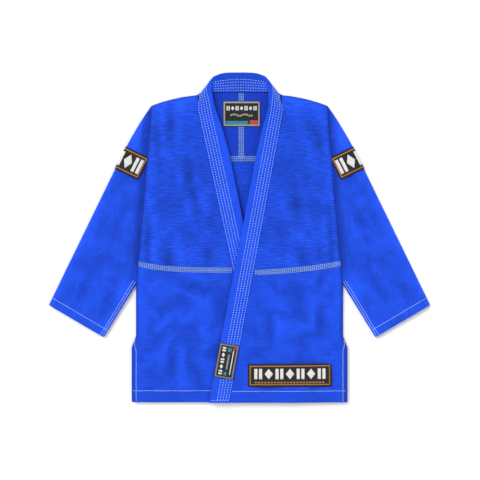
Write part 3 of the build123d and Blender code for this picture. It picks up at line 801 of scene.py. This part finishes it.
# ---- the collar band -------------------------------------------------------------------------
def collar_lines(name):
    """Sewn and free edge of half the collar band, from centre back over the fold to the hem."""
    low_dir = unit(ROLL_HIGH - ROLL_LOW)
    start = 0.010 * low_dir
    turn = np.radians(np.linspace(-80, 90, 24))[:, None]
    drift = np.where(turn > 0, 0.022, 0.010) * turn / (math.pi / 2)
    over = ROLL_R * np.cos(turn) * -left_of(low_dir) - drift * low_dir
    height = ROLL_Z + ROLL_R * np.sin(turn)
    x = np.linspace(0, 1, 18)[:, None]
    y = np.concatenate([np.linspace(0.336, CHEST_Y, 30), np.linspace(CHEST_Y - 0.005, HEM_Y, 120)])
    lines = []
    # each edge: its roll's middle, the end and height of its curve behind the neck, and on the
    # lapel how far it runs ahead and how much higher it stands by the neck
    for edge, roll, end, back_y, power, lead, rise in (
            (0, ROLL_LOW, ROLL_LOW + start, NECK_SEAM_Y, 2, 0.0, 0.0),
            (1, ROLL_HIGH, ROLL_HIGH + 1.5 * start, COLLAR_Y, 4, 0.0096, 0.009)):
        behind = np.hstack([x * end[0], back_y + (end[1] - back_y) * x ** power, 0 * x + 0.005])
        at = y + lead * smooth(y, HEM_Y, HEM_Y + 0.2)
        across = lapel_x(name, edge, at)
        z = LAPEL_Z + lap(name, across, at) + rise * smooth(at, 0.230, 0.345)
        lines.append(np.vstack([behind, np.hstack([roll + over, height]), np.stack([across, at, z], -1)]))
    return lines


def soften(points, passes):
    """Evens out a line of points, its ends held."""
    points = points.copy()
    for _ in range(passes):
        points[1:-1] = points[1:-1] * 0.5 + (points[:-2] + points[2:]) * 0.25
    return points


class Band:
    """Half the collar band: a cored strip ruled between its sewn and its free edge."""

    def __init__(self, name):
        cut = bpy.context.scene.jacket_cut
        sewn, free = collar_lines(name)
        run = np.concatenate([[0], np.cumsum(np.linalg.norm(np.diff((sewn + free) / 2, axis=0), axis=1))])
        self.run = np.linspace(0, run[-1], int(run[-1] / 0.003))
        self.sewn, free = (soften(np.stack([np.interp(self.run, run, column) for column in line.T], -1), 4)
                           for line in (sewn, free))
        free = lerp(free, soften(free, 40), smooth(0.22 - self.run, 0.0, 0.10)[:, None])
        self.thick = cut.band
        self.rows = [0.0025 + i * cut.row_gap for i in range(cut.band_rows)]
        self.width = np.linalg.norm(free - self.sewn, axis=1)
        self.across = (free - self.sewn) / self.width[:, None]
        ahead = unit(np.gradient((self.sewn + free) / 2, axis=0))
        self.up = unit(np.cross(ahead, self.across))
        self.seed = len(name)

    def bulge(self, c, run):
        """Half thickness at a distance c from the sewn edge: plump between the rows, pinched at each."""
        pinch = sum(np.exp(-((c - row) / 0.0016) ** 2) for row in self.rows)
        pucker = 1 + 0.25 * np.sin(run * 480 + c * 900) * np.sin(run * 173 + 2 * self.seed)
        return self.thick / 2 - 0.0011 * pinch * pucker

    def at(self, k, c, side):
        """Points at stations k, a distance c from the sewn edge, on one face."""
        edge = np.clip(np.minimum(c, self.width[k] - c) / (self.thick * 0.42), 0, 1)
        half = self.bulge(c, self.run[k]) * np.sqrt(1 - (1 - edge) ** 2)
        return self.sewn[k] + self.across[k] * c[:, None] + self.up[k] * (side * half)[:, None]

    def place(self, u, v):
        """Points and flat pattern of the band's cover, which has one face for u below a half."""
        k = np.round(v * (len(self.run) - 1)).astype(int)
        side = np.where(u < 0.5, 1.0, -1.0)
        t = np.where(u < 0.5, u * 2, 2 - u * 2)
        c = (t - 0.035 * np.sin(2 * math.pi * t)) * self.width[k]
        return self.at(k, c, side), np.stack([c + (side < 0) * 0.06, self.run[k]], -1)

    def row(self, c, side, last):
        """A path for a row of stitches from the centre back to a distance last along the band."""
        k = np.arange(np.searchsorted(self.run, last))
        return self.at(k, np.full(len(k), c), side) + self.up[k] * side * PROUD, self.up[k] * side

    def end_row(self, station):
        """A path for stitches across the band's upper face at a station."""
        c = np.linspace(0.002, self.width[station] - 0.003, 24)
        k = np.full(len(c), station)
        return self.at(k, c, -1) - self.up[k] * PROUD, -self.up[k]


# ---- working on pieces -----------------------------------------------------------------------
def made(name):
    """A piece made by an earlier step."""
    piece = bpy.data.objects.get(name)
    if piece is None:
        raise RuntimeError(f"{name} isn't there yet; run the steps from the top")
    return piece


def cut_size(piece):
    """Width, length and area of a sheet's flat pattern."""
    mesh = piece.data
    uv = np.empty(len(mesh.loops) * 2, dtype=np.float32)
    mesh.uv_layers["Pattern"].data.foreach_get("uv", uv)
    uv = uv.reshape(-1, 4, 2).astype(float)
    a, b = uv[:, 2] - uv[:, 0], uv[:, 3] - uv[:, 1]
    size = uv.reshape(-1, 2).max(0) - uv.reshape(-1, 2).min(0)
    area = np.abs(a[:, 0] * b[:, 1] - a[:, 1] * b[:, 0]).sum() / 2
    return (float(size[0]), float(size[1])), float(min(area, size[0] * size[1]))


def fit_out(table):
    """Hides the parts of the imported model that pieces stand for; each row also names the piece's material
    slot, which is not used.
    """
    for piece, slot, *nodes in table:
        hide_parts(*nodes)


def oblong(x0, y0, x1, y1):
    """The plan of an upright strip."""
    return lambda u, v: np.stack([lerp(x0, x1, u), lerp(y0, y1, v)], -1)


def strip(name, columns, rows, plan_of, kind, thickness, look, lift, mirror=1):
    """A strip laid on cloth, with its cut; plan_of(u, v) gives its plan points."""
    def place(u, v):
        """Plan points, flat, and the same as the pattern."""
        plan = plan_of(u, v)
        return np.hstack([plan, np.zeros((len(plan), 1))]), plan

    piece = grid(name, columns, rows, place, material(kind), mirror)
    cut = cut_size(piece)
    drape(piece, look, lift)
    thicken(piece, thickness)
    return piece, cut


def stiff(height, size):
    """A smooth surface over a badge's area that clears what lies under it: a badge doesn't crease."""
    a, b = (g.ravel() for g in np.meshgrid(*(np.linspace(-0.5, 0.5, 15) * side for side in size)))
    terms = lambda a, b: np.stack([np.ones_like(a), a, b, a * a, a * b, b * b], -1)
    z = height(a, b)
    fit = np.linalg.lstsq(terms(a, b), z, rcond=None)[0]
    clear = np.percentile(z - terms(a, b) @ fit, 98)
    return lambda a, b: terms(a, b) @ fit + clear


def on_cloth(look, centre, size, turn=0.0):
    """Lays badge coordinates a, b on cloth, turned about the badge's centre."""
    cos, sin = math.cos(turn), math.sin(turn)
    plan = lambda a, b: (centre[0] + a * cos - b * sin, centre[1] + a * sin + b * cos)
    height = stiff(lambda a, b: heights(look, *plan(a, b)), size)

    def at(a, b, lift):
        """Points at a, b raised by lift."""
        return np.stack([*plan(a, b), height(a, b) + lift], -1)

    return at


def on_sleeve(look, side):
    """Lays badge coordinates round a sleeve: b runs along it, a runs in from its outer fold."""
    _, fold = tube_edges(np.linspace(0, 1, 200))
    run = (fold - SLEEVE_BEND) @ SLEEVE_DIR
    inward = -left_of(SLEEVE_DIR)

    def fold_at(b):
        """The outer fold beside b."""
        down = SLEEVE_PATCH_DOWN - SLEEVE_PATCH[1] / 2 - b
        return np.stack([np.interp(down, run, column) for column in fold.T], -1)

    def height(a, b):
        """Height of the sleeve's top beside a, b."""
        plan = fold_at(b) + inward * np.maximum(SLEEVE_PATCH_IN - a, 0.012)[:, None]
        return heights(look, plan[:, 0] * side, plan[:, 1])

    top = stiff(height, SLEEVE_PATCH)

    def at(a, b, lift):
        """Points at a, b raised by lift."""
        d = SLEEVE_PATCH_IN - a
        e, local, turn = round_fold(np.abs(d), TUBE_R, TUBE_HALF)
        outside = lift + CLEAR_OF_SLEEVE
        above = top(a, b) - TUBE_HALF + local + lift * np.sin(turn)
        below = CLEAR_OF_SLEEVE + TUBE_HALF - local - outside * np.sin(turn)
        plan = fold_at(b) + inward * (e - outside * np.cos(turn))[:, None]
        return np.hstack([plan * (side, 1), np.where(d > 0, above, below)[:, None]])

    return at


def tile(at, outline, lift, columns, rows):
    """A four-cornered piece of a badge, as a mesh; outline is its corners, anticlockwise."""
    corners = np.array(outline, float)
    mesh, u, v = grid_mesh("tile", columns, rows)
    u, v = u[:, None], v[:, None]
    plan = lerp(lerp(corners[0], corners[1], u), lerp(corners[3], corners[2], u), v)
    write_points(mesh, at(plan[:, 0], plan[:, 1], lift))
    lay_pattern(mesh, plan)
    return mesh


def tiles(name, at, outlines, lift, kind, thickness, flip, columns, rows):
    """Several badge pieces of one material as one object, with their cut."""
    bm = bmesh.new()
    for outline in outlines:
        mesh = tile(at, outline, lift, columns, rows)
        bm.from_mesh(mesh)
        bpy.data.meshes.remove(mesh)
    if flip:
        bmesh.ops.reverse_faces(bm, faces=bm.faces)
    piece = link(as_mesh(bm, name), name, material(kind))
    cut = cut_size(piece)
    thicken(piece, thickness)
    return piece, cut


def block(x0, y0, x1, y1, slant=0.0):
    """The corners of an upright rectangle, or of a leaning one."""
    return ((x0, y0), (x1, y0), (x1 + slant, y1), (x0 + slant, y1))


def inset(size, by):
    """The corners of a badge's outline, drawn in."""
    w, h = size[0] / 2 - by, size[1] / 2 - by
    return block(-w, -h, w, h)


def motifs(count, pitch, width, height, middle):
    """A row of lozenges and paired bars, by turns, centred on the badge."""
    outlines = []
    low, high = middle - height / 2, middle + height / 2
    for i in range(count):
        x, w = (i - (count - 1) / 2) * pitch, width / 2
        if i % 2:
            outlines.append(((x, low), (x + w * 1.1, middle), (x, high), (x - w * 1.1, middle)))
        else:
            outlines += [block(x - w, low, x - w * 0.2, high), block(x + w * 0.2, low, x + w, high)]
    return outlines


def edging(name, at, size):
    """Overlock stitching round a badge's edge."""
    count = int(2 * sum(size) / 0.003)
    loop = np.array(inset(size, 0))[[0, 1, 2, 3, 0]]
    plan = along(loop, np.linspace(0, 1, count))
    points = at(plan[:, 0], plan[:, 1], 0.0008)
    up = np.tile((0.0, 0.0, 1.0), (count, 1))
    return sew(name, [(points, up)], material("dark thread"), EDGING, -EDGING * 0.35, 0.0019, 0.5)


def rows_on(look, lines, mirror=1):
    """Stitch paths along lines drawn in plan on cloth."""
    paths = []
    for line in lines:
        line = np.asarray(line, float)
        count = max(2, int(np.linalg.norm(np.diff(line, axis=0), axis=1).sum() / 0.004))
        paths.append(laid(along(line, np.linspace(0, 1, count)) * (mirror, 1), look))
    return paths


def stitching(name, paths, cut, gap=1.0, thick=1.0, lean=0.0):
    """Rows of the jacket's contrast stitching; gap and thick are shares of the settings."""
    return sew(name, paths, material("white thread"), cut.stitch, cut.stitch_gap * gap,
               cut.thread * thick, lean)


class Step(bpy.types.Operator):
    """One step in making the jacket."""

    bl_options = {"REGISTER", "UNDO"}

    def execute(self, context):
        """Makes this step's pieces."""
        self.make(context.scene.jacket_cut)
        return {"FINISHED"}


class JACKET_OT_back(Step):
    """Back panel, back skirt, shoulder lining and their seams, flat on the table"""

    bl_idname = "jacket.back"
    bl_label = "Back"

    def sheets(self):
        """Both sheets of the back, not yet thickened."""
        top = np.vstack([-SHOULDER_LINE.T[::-1] * (1, -1), [(-0.1, NECK_SEAM_Y), (0.1, NECK_SEAM_Y)],
                         SHOULDER_LINE.T])

        def lay(low, high, right, seed, in_from, narrow):
            """The mapping of a sheet with a given right edge; its ripples fade within in_from of it."""
            def place(u, v):
                """Points and flat pattern of the back."""
                plan = coons(low, high, right * (-1, 1), right, u, v)
                z = BACK_Z + np.maximum(ripple(*plan.T, seed), 0) * 0.4
                if in_from:
                    inside = np.clip(side_x(plan[:, 1]) - np.abs(plan[:, 0]), 0, in_from) / in_from
                    z = BACK_Z + (z - BACK_Z) * inside
                return np.hstack([plan * (narrow, 1), z[:, None]]), plan
            return place

        upper = edge_points(side_x, BACK_WAIST_Y, SHOULDER[1])
        lower = edge_points(side_x, HEM_Y, BACK_WAIST_Y, 160)
        ends = [np.array((point * (-1, 1), point)) for point in (upper[0], lower[0], lower[-1])]
        back = grid("back_panel_cloth", 150, 130, lay(ends[0], top, upper, 31, 0.02, 0.998),
                    material("body cloth"))
        skirt = grid("back_skirt_cloth", 150, 100, lay(ends[1], ends[2], lower, 32, 0, 1),
                     material("skirt cloth"))
        return back, skirt

    def make(self, cut):
        """Lays the back down from the table up."""
        back, lower = self.sheets()
        back_cut, lower_cut = cut_size(back), cut_size(lower)
        for piece in (back, lower):
            # painted shade in the hollows of the back's sheets
            shade(piece)
            thicken(piece, cut.cloth)
        look = surface(back, lower)

        waist, _ = strip("back_waist_tape", 170, 5,
                         oblong(-0.262, BACK_WAIST_Y - 0.007, 0.262, BACK_WAIST_Y + 0.007),
                         "seam tape", TAPE, look, 0.0005)
        hem, _ = strip("back_hem_fold", 170, 10,
                       oblong(-HEM_X + 0.001, HEM_Y + 0.0005, HEM_X - 0.001, HEM_Y + cut.hem),
                       "skirt cloth", TURNED, look, 0.0007)
        yokes, trims, lower_trims = [], [], [waist, hem]
        for name, side in SIDES:
            inner = 0.012 if side > 0 else 0.003

            def lining(u, v, inner=inner):
                """Half the shoulder lining."""
                outer = edge_points(lambda y: side_x(y) - 0.010, YOKE_Y + 0.0065, SHOULDER[1] - 0.007)
                high = np.array([(inner, NECK_SEAM_Y - 0.004), (0.098, NECK_SEAM_Y - 0.005),
                                 NECK - (0, 0.009), SHOULDER_MID - (0, 0.009), outer[-1]])
                corner = (inner, outer[0][1])
                return coons(np.array((corner, outer[0])), high, np.array((corner, high[0])), outer, u, v)

            yoke, yoke_cut = strip(f"shoulder_lining_{name}", 80, 60, lining, "lining cloth", INSIDE,
                                   look, 0.0008, side)
            seam, _ = strip(f"yoke_tape_{name}", 80, 5,
                            oblong(inner, YOKE_Y - 0.0075, 0.236, YOKE_Y + 0.0075), "seam tape", INSIDE,
                            look, 0.0009, side)
            vent, _ = strip(f"vent_reinforcement_{name}", 10, 14,
                            oblong(HIP[0] - 0.034, VENT_Y - 0.026, HIP[0] - 0.014, VENT_Y + 0.008),
                            "skirt cloth", TURNED, look, 0.0008, side)
            for piece, node in ((yoke, "back_yoke_"), (seam, "yoke_seam_"), (vent, "vent_patch_")):
                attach(piece, "body")
                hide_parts(node + name)
            yokes.append(yoke)
            trims.append(seam)
            lower_trims.append(vent)
        centre, _ = strip("centre_back_tape", 6, 60,
                          oblong(-0.003, YOKE_Y - 0.0075, 0.012, NECK_SEAM_Y - 0.002), "seam tape",
                          INSIDE, look, 0.0011)
        inside = surface(back, lower, *trims, centre, waist, hem, *yokes)
        label_low, label_high = (NECK_LABEL_AT[1] + d * (NECK_LABEL[1] / 2 + 0.001) for d in (-1, 1))
        rows = [((x, y0), (x, y1)) for x in (-0.0012, 0.0045, 0.0102)
                for y0, y1 in ((YOKE_Y, label_low), (label_high, NECK_SEAM_Y - 0.004))]
        rows += [((-0.230, YOKE_Y + d), (0.230, YOKE_Y + d)) for d in (-0.0056, 0.0, 0.0056)]
        sewing = stitching("inside_back_stitching", rows_on(inside, rows), cut, gap=0.7)
        rows = [((-0.260, BACK_WAIST_Y + d), (0.260, BACK_WAIST_Y + d)) for d in (-0.0045, 0.0045)]
        hem_row = HEM_Y + cut.hem - 0.002
        rows.append(((-HEM_X + 0.004, hem_row), (HEM_X - 0.004, hem_row)))
        low_sewing = stitching("back_skirt_stitching", rows_on(inside, rows), cut)
        for piece in (back, lower, waist, hem, centre, sewing, low_sewing):
            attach(piece, "body")
        fit_out([(back, "jacket_cloth", "back_panel"), (lower, "jacket_cloth", "back_skirt"),
                 (hem, "jacket_cloth", "back_hem"), (waist, "seam_tape", "back_waist_seam"),
                 (centre, "seam_tape", "centre_back_seam")])


class JACKET_OT_fronts(Step):
    """Both fronts: panel with rolled shoulder and side, skirt, turned hem and waist seam"""

    bl_idname = "jacket.fronts"
    bl_label = "Fronts"

    def sheet(self, name, side, part, cut):
        """A panel or skirt with its folds, not yet thickened, and its cut."""
        columns, rows, kind, depth = {"panel": (84, 150, "body cloth", 0.0035),
                                      "skirt": (112, 124, "skirt cloth", 0.0048)}[part]
        piece = grid(f"{name}_front_{part}_cloth", columns, rows, front_place(name, part),
                     material(kind), side)
        size = cut_size(piece)
        points = read_points(piece.data)
        x, y = points[:, 0] * side, points[:, 1]
        margin = np.minimum.reduce([side_x(y) - x - 0.008, x - lapel_x(name, 0, y) - 0.004,
                                    np.abs(y - waist_y(name, x)) - 0.004, y - HEM_Y - 0.004,
                                    SHOULDER[1] + 0.02 - y])
        relax(piece, 1 - smooth(margin, 0.0, 0.030), cut.spare, 0.0022)
        # painted shade along the shoulder's fold and down the side, where the cloth rolls away
        fold = np.interp(x, *SHOULDER_LINE)
        under = 0.9 * smooth(y - fold, -0.014, 0.003) + 0.7 * smooth(x - side_x(y), -0.016, 0.0)
        if name == "right":
            # painted shadow that the left lapel's free edge casts on the right front below it
            lapel_shadow = np.exp(-((x + lapel_x("left", 1, y)) / 0.008) ** 2)
            under = under + 0.45 * lapel_shadow * smooth(-y, 0.0, 0.05)
        shade(piece, under, depth=depth)
        return piece, size

    def make(self, cut):
        """The right front first, since the left one laps over it."""
        for name, side in reversed(SIDES):
            panel, panel_cut = self.sheet(name, side, "panel", cut)
            skirt, skirt_cut = self.sheet(name, side, "skirt", cut)
            for piece in (panel, skirt):
                thicken(piece, cut.cloth)
            look = surface(panel, skirt)
            sewn = lambda y: lapel_x(name, 0, y)

            def hem_plan(u, v):
                """The turned-up hem under the skirt's lower edge."""
                y = lerp(HEM_Y + 0.0006, HEM_Y + cut.hem, v)
                return np.stack([lerp(sewn(y), side_x(y) - 0.002, u), y], -1)

            def seam_plan(u, v):
                """The felled waist seam, a little narrower at its ends."""
                x = lerp(sewn(WAIST_LAPEL_Y) + 0.0015, side_x(WAIST_SIDE_Y) - 0.0015, u)
                width = cut.seam * (1 - 0.35 * (2 * u - 1) ** 6)
                return np.stack([x, waist_y(name, x) + (v - 0.5) * width], -1)

            hem, _ = strip(f"{name}_front_hem_fold", 110, 10, hem_plan, "skirt cloth", INSIDE, look,
                           -cut.cloth - 0.0006, side)
            seam, _ = strip(f"{name}_waist_tape", 110, 6, seam_plan, "seam tape", TAPE, look, 0.0004, side)
            over = surface(panel, skirt, seam)
            x = np.linspace(sewn(WAIST_LAPEL_Y) + 0.003, side_x(WAIST_SIDE_Y) - 0.002, 60)
            seam_rows = [np.stack([x, waist_y(name, x) + d], -1) for d in (-0.0056, -0.0019, 0.0019, 0.0056)]
            y = HEM_Y + cut.hem
            vent_row = [(side_x(q) - 0.0115 + 0.010 * float(smooth(q, VENT_Y - 0.040, VENT_Y - 0.008)), q)
                        for q in np.linspace(HEM_Y + 0.002, VENT_Y - 0.008, 40)]
            low_rows = [((sewn(y) + 0.002, y), (side_x(y) - 0.004, y)), vent_row]
            seam_sewing = stitching(f"{name}_waist_stitching", rows_on(over, seam_rows, side), cut,
                                    0.6, 0.8, 0.55)
            low_sewing = stitching(f"{name}_hem_stitching", rows_on(over, low_rows, side), cut, 0.35, 0.9)
            for piece in (panel, skirt, hem, seam, seam_sewing, low_sewing):
                across_fold(piece, name)
            fit_out([(panel, "jacket_cloth", f"front_shoulder_{name}", f"underarm_gusset_{name}",
                      f"{name}_front_panel"),
                     (skirt, "jacket_cloth", f"side_gore_{name}", f"{name}_front_skirt"),
                     (hem, "jacket_cloth", f"{name}_front_hem"), (seam, "seam_tape", f"{name}_waist_seam")])


class JACKET_OT_sleeves(Step):
    """Both sleeves as flattened tubes, with turned-in cuffs and their stitching"""

    bl_idname = "jacket.sleeves"
    bl_label = "Sleeves"

    def make(self, cut):
        """Each tube is one cloth, joined along its underarm seam."""
        for name, side in SIDES:
            sleeve = grid(f"{name}_sleeve_cloth", 150, 150, sleeve_place(name), material("sleeve cloth"),
                          side)
            join(sleeve.data, 0.0001)
            outward(sleeve)
            size = cut_size(sleeve)
            points = read_points(sleeve.data)
            plan = points[:, :2] * (side, 1)
            from_root = (plan - HIP) @ ARMHOLE_OUT
            margin = np.minimum.reduce([(plan - HIP) @ left_of(UNDERARM_DIR) - 0.010,
                                        (SLEEVE_BEND - plan) @ left_of(SLEEVE_DIR) - 0.008,
                                        (plan - CUFF_INNER) @ left_of(CUFF_DIR) - 0.006,
                                        from_root - 0.010, points[:, 2] * 3 - 0.012])
            relax(sleeve, 1 - smooth(margin, 0.0, 0.022), cut.spare, 0.0010)
            # painted shade in the sleeve's hollows and along its root, in the valley beside the body
            shade(sleeve, 1.0 - smooth(from_root, 0.002, 0.034), depth=0.0065)
            thicken(sleeve, cut.cloth)
            cuff_place = sleeve_place(name, INSIDE_SLEEVE, 1 - cut.cuff / SLEEVE_LENGTH)
            facing = grid(f"{name}_cuff_fold", 120, 8, cuff_place, material("skirt cloth"), side)
            outward(facing)
            thicken(facing, INSIDE)
            lines = [[end + left_of(UNDERARM_DIR) * d - UNDERARM_DIR * 0.002 for end in (HIP, CUFF_INNER)]
                     for d in (0.0032, 0.0092)]
            up, in_by = -SLEEVE_DIR * cut.cuff, CUFF_DIR * 0.001
            lines.append((CUFF_INNER + up + in_by, CUFF_OUTER + up - in_by))
            sewing = stitching(f"{name}_sleeve_stitching", rows_on(surface(sleeve), lines, side), cut,
                               0.35, 0.85)
            for piece in (sleeve, facing, sewing):
                across_armhole(piece, name)
            fit_out([(sleeve, "jacket_cloth", f"{name}_sleeve"), (facing, "facing", f"{name}_cuff_facing")])
            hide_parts(f"{name}_sleeve_seam")


def outward(piece):
    """Turns a tube's faces to the outside: over the top they look up."""
    mesh = piece.data
    up = sum(face.normal.z * face.area for face in mesh.polygons if face.center.z > 0.014)
    if up < 0:
        mesh.flip_normals()


class JACKET_OT_collar(Step):
    """Collar and lapels: a cored band rolled over behind the neck, with its rows of stitching"""

    bl_idname = "jacket.collar"
    bl_label = "Collar"

    def make(self, cut):
        """Half the band for each side, from the centre back to the hem."""
        for name, side in SIDES:
            band = Band(name)
            stations = len(band.run) - 1
            cover = grid(f"{name}_collar_band", 84, stations, band.place, material("collar twill"), side)
            join(cover.data, 0.00003, fill=True)
            x, y, _ = read_points(cover.data).T
            # painted shade on the band's inner face inside the back of the neck
            mark(cover.data, 0.55 * smooth(y, 0.375, 0.400) * smooth(0.062 - np.abs(x), 0.0, 0.006))
            rows = [band.row(c, -1, band.run[-1] - 0.004) for c in band.rows]
            rows += [band.row(c, 1, 0.118) for c in band.rows]
            rows.append(band.end_row(stations - 2))
            rows = [(points * (side, 1, 1), up * (side, 1, 1)) for points, up in rows]
            sewing = stitching(f"{name}_collar_stitching", rows, cut)
            for piece in (cover, sewing):
                across_cut(piece, name)
            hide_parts("collar_shell", "collar_core", f"{name}_lapel_shell", f"{name}_lapel_core")


class JACKET_OT_badges(Step):
    """Neck label, lapel label, skirt patch and sleeve patches, with plain embroidered shapes"""

    bl_idname = "jacket.badges"
    bl_label = "Labels and patches"

    def badge(self, name, at, size, kind, layers, bend, slot, flip=False):
        """A badge from its ground up; layers are name, outlines, lift, material and thickness."""
        ground, cut = tiles(f"{name}_ground", at, [inset(size, 0)], 0.0005, kind, 0.0008, flip, 40, 24)
        parts = []
        for label, outlines, lift, kind, thickness in layers:
            fine = (40, 24) if label in ("border", "field") else (8, 6)
            parts.append(tiles(f"{name}_{label}", at, outlines, lift, kind, thickness, flip, *fine)[0])
        parts.append(edging(f"{name}_edging", at, size))
        for piece in (ground, *parts):
            bend(piece)
        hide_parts(name)

    def skirt_patch(self):
        """The wide patch on the left skirt."""
        at = on_cloth(surface(made("left_front_skirt_cloth")), SKIRT_PATCH_AT, SKIRT_PATCH)
        dashes = [block(-0.092 + i * 0.0084, -0.0205, -0.0866 + i * 0.0084, -0.0165) for i in range(22)]
        self.badge("skirt_patch", at, SKIRT_PATCH, "black ground",
                   [("border", [inset(SKIRT_PATCH, 0.004)], 0.0009, "copper satin", 0.0006),
                    ("field", [inset(SKIRT_PATCH, 0.0068)], 0.0013, "black ground", 0.0006),
                    ("blocks", motifs(7, 0.0277, 0.0205, 0.0275, 0.0038), 0.0018, "white satin", 0.0009),
                    ("dashes", dashes, 0.0018, "copper satin", 0.0008)],
                   lambda piece: across_fold(piece, "left"), "patch")

    def lapel_label(self):
        """The label at the left lapel's lower end, turned as the lapel is."""
        hem, chest, _ = LAPELS["left"][0]
        turn = -math.atan2(chest - hem, CHEST_Y - HEM_Y)
        at = on_cloth(surface(made("left_collar_band")), LAPEL_LABEL_AT, LAPEL_LABEL, turn)
        column = [[(-b, a) for a, b in outline] for outline in motifs(5, 0.0152, 0.0115, 0.0095, 0.0110)]
        teal = [block(-0.002, 0.025, 0.008, 0.036), block(-0.002, -0.037, 0.006, -0.028)]
        self.badge("lapel_label", at, LAPEL_LABEL, "stone border",
                   [("field", [inset(LAPEL_LABEL, 0.005)], 0.0009, "black ground", 0.0005),
                    ("blocks", column, 0.0013, "white satin", 0.0005),
                    ("teal_blocks", teal, 0.0013, "teal satin", 0.0005),
                    ("grey_band", [block(0.001, -0.022, 0.006, 0.019)], 0.0013, "grey satin", 0.0005),
                    ("white_line", [block(0.0125, -0.034, 0.0150, 0.030)], 0.0013, "white satin", 0.0005),
                    ("corner", [block(0.011, 0.032, 0.018, 0.037)], 0.0013, "red satin", 0.0005)],
                   lambda piece: across_cut(piece, "left"), "label")

    def neck_label(self):
        """The label inside the neck, over the centre back tape."""
        at = on_cloth(surface(*map(made, ("back_panel_cloth", "centre_back_tape", "shoulder_lining_left",
                                          "shoulder_lining_right"))), NECK_LABEL_AT, NECK_LABEL)
        wave = []
        for i in range(10):
            x, y = -0.030 + i * 0.006, 0.002 * math.sin(i * 1.3)
            wave.append(block(x, y - 0.006, x + 0.0045, y - 0.001, 0.001))
        self.badge("neck_label", at, NECK_LABEL, "sand border",
                   [("field", [inset(NECK_LABEL, 0.005)], 0.0009, "black ground", 0.0005),
                    ("blocks", motifs(7, 0.0118, 0.0085, 0.0120, 0.0145), 0.0014, "white satin", 0.0006),
                    ("wave", wave, 0.0014, "sand border", 0.0005),
                    ("teal_strip", [block(-0.0435, -0.028, 0.018, -0.019)], 0.0013, "teal satin", 0.0005),
                    ("corner", [block(0.022, -0.028, 0.0435, -0.017)], 0.0013, "red satin", 0.0005)],
                   lambda piece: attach(piece, "body"), "label")

    def make(self, cut):
        """The badges, each laid on what carries it."""
        self.skirt_patch()
        self.lapel_label()
        self.neck_label()
        for name, side in SIDES:
            at = on_sleeve(surface(made(f"{name}_sleeve_cloth")), side)
            self.badge(f"{name}_sleeve_patch", at, SLEEVE_PATCH, "black ground",
                       [("border", [inset(SLEEVE_PATCH, 0.004)], 0.0008, "copper satin", 0.0006),
                        ("field", [inset(SLEEVE_PATCH, 0.007)], 0.0011, "black ground", 0.0006),
                        ("blocks", motifs(3, 0.0268, 0.0210, 0.0400, 0.0), 0.0016, "white satin", 0.0008)],
                       lambda piece: across_armhole(piece, name), "patch", side > 0)


# each lamp's name, bearing, height, strength and spread in degrees
LAMPS = (("key", 318, 58, 2.15, 32), ("fill", 120, 48, 0.55, 60))
VIEW_WIDTH, VIEW_Z, LENS, SENSOR = 1.262, 0.015, 85, 36      # what the camera sees across, and its lens


class JACKET_OT_stage(Step):
    """White table, soft studio light and a camera straight above"""

    bl_idname = "jacket.stage"
    bl_label = "Stage"

    def make(self, cut):
        """The table is large enough for the jacket's shadow."""
        bm = bmesh.new()
        bmesh.ops.create_grid(bm, x_segments=1, y_segments=1, size=6)
        s = Shades("white table")
        shader = s.add("BsdfPrincipled", {"Base Color": (0.93, 0.93, 0.93, 1), "Roughness": 0.8})
        s.add("OutputMaterial", {"Surface": shader})
        table = link(as_mesh(bm, "table"), "table", s.material)
        table.location.z = -0.0005
        for name, bearing, height, strength, spread in LAMPS:
            light = bpy.data.lights.new(name, "SUN")
            light.energy, light.angle = strength, math.radians(spread)
            lamp = bpy.data.objects.new(name, light)
            bpy.context.scene.collection.objects.link(lamp)
            turn, up = math.radians(bearing), math.radians(height)
            place = Vector((math.sin(turn) * math.cos(up), math.cos(turn) * math.cos(up), math.sin(up)))
            lamp.location = place * 3
            lamp.rotation_euler = (-place).to_track_quat("-Z", "Y").to_euler()
        world = bpy.data.worlds.new("studio")
        world.use_nodes = True
        background = world.node_tree.nodes["Background"].inputs
        background["Color"].default_value = (1, 1, 1, 1)
        background["Strength"].default_value = 0.58
        bpy.context.scene.world = world
        bpy.context.scene.view_settings.view_transform = "Standard"
        camera = bpy.data.cameras.new("camera")
        camera.lens, camera.sensor_width = LENS, SENSOR
        viewer = bpy.data.objects.new("camera", camera)
        bpy.context.scene.collection.objects.link(viewer)
        viewer.location = (0.0013, -0.008, VIEW_Z + VIEW_WIDTH / SENSOR * LENS)
        bpy.context.scene.camera = viewer


STEPS = (JACKET_OT_back, JACKET_OT_fronts, JACKET_OT_sleeves, JACKET_OT_collar, JACKET_OT_badges,
         JACKET_OT_stage)


class JACKET_PT_panel(bpy.types.Panel):
    """Settings and steps of the jacket"""

    bl_label = "Martial Arts Jacket"
    bl_idname = "JACKET_PT_panel"
    bl_space_type = "VIEW_3D"
    bl_region_type = "UI"
    bl_category = "Jacket"

    def draw(self, context):
        """Lists the settings, then the steps in order."""
        for group in (context.scene.jacket_cut, context.scene.jacket_colours):
            for key in group.__annotations__:
                self.layout.prop(group, key)
        for step in STEPS:
            self.layout.operator(step.bl_idname)


CLASSES = (JacketCut, JacketColours, *STEPS, JACKET_PT_panel)


def register():
    """Adds the add-on's classes and settings."""
    for cls in CLASSES:
        bpy.utils.register_class(cls)
    bpy.types.Scene.jacket_cut = PointerProperty(type=JacketCut)
    bpy.types.Scene.jacket_colours = PointerProperty(type=JacketColours)


def unregister():
    """Takes them out again."""
    del bpy.types.Scene.jacket_colours
    del bpy.types.Scene.jacket_cut
    for cls in reversed(CLASSES):
        bpy.utils.unregister_class(cls)


def main():
    """Registers the add-on and makes the jacket step by step."""
    register()
    for step in STEPS:
        area, name = step.bl_idname.split(".")
        getattr(getattr(bpy.ops, area), name)()


if __name__ == "__main__":
    main()
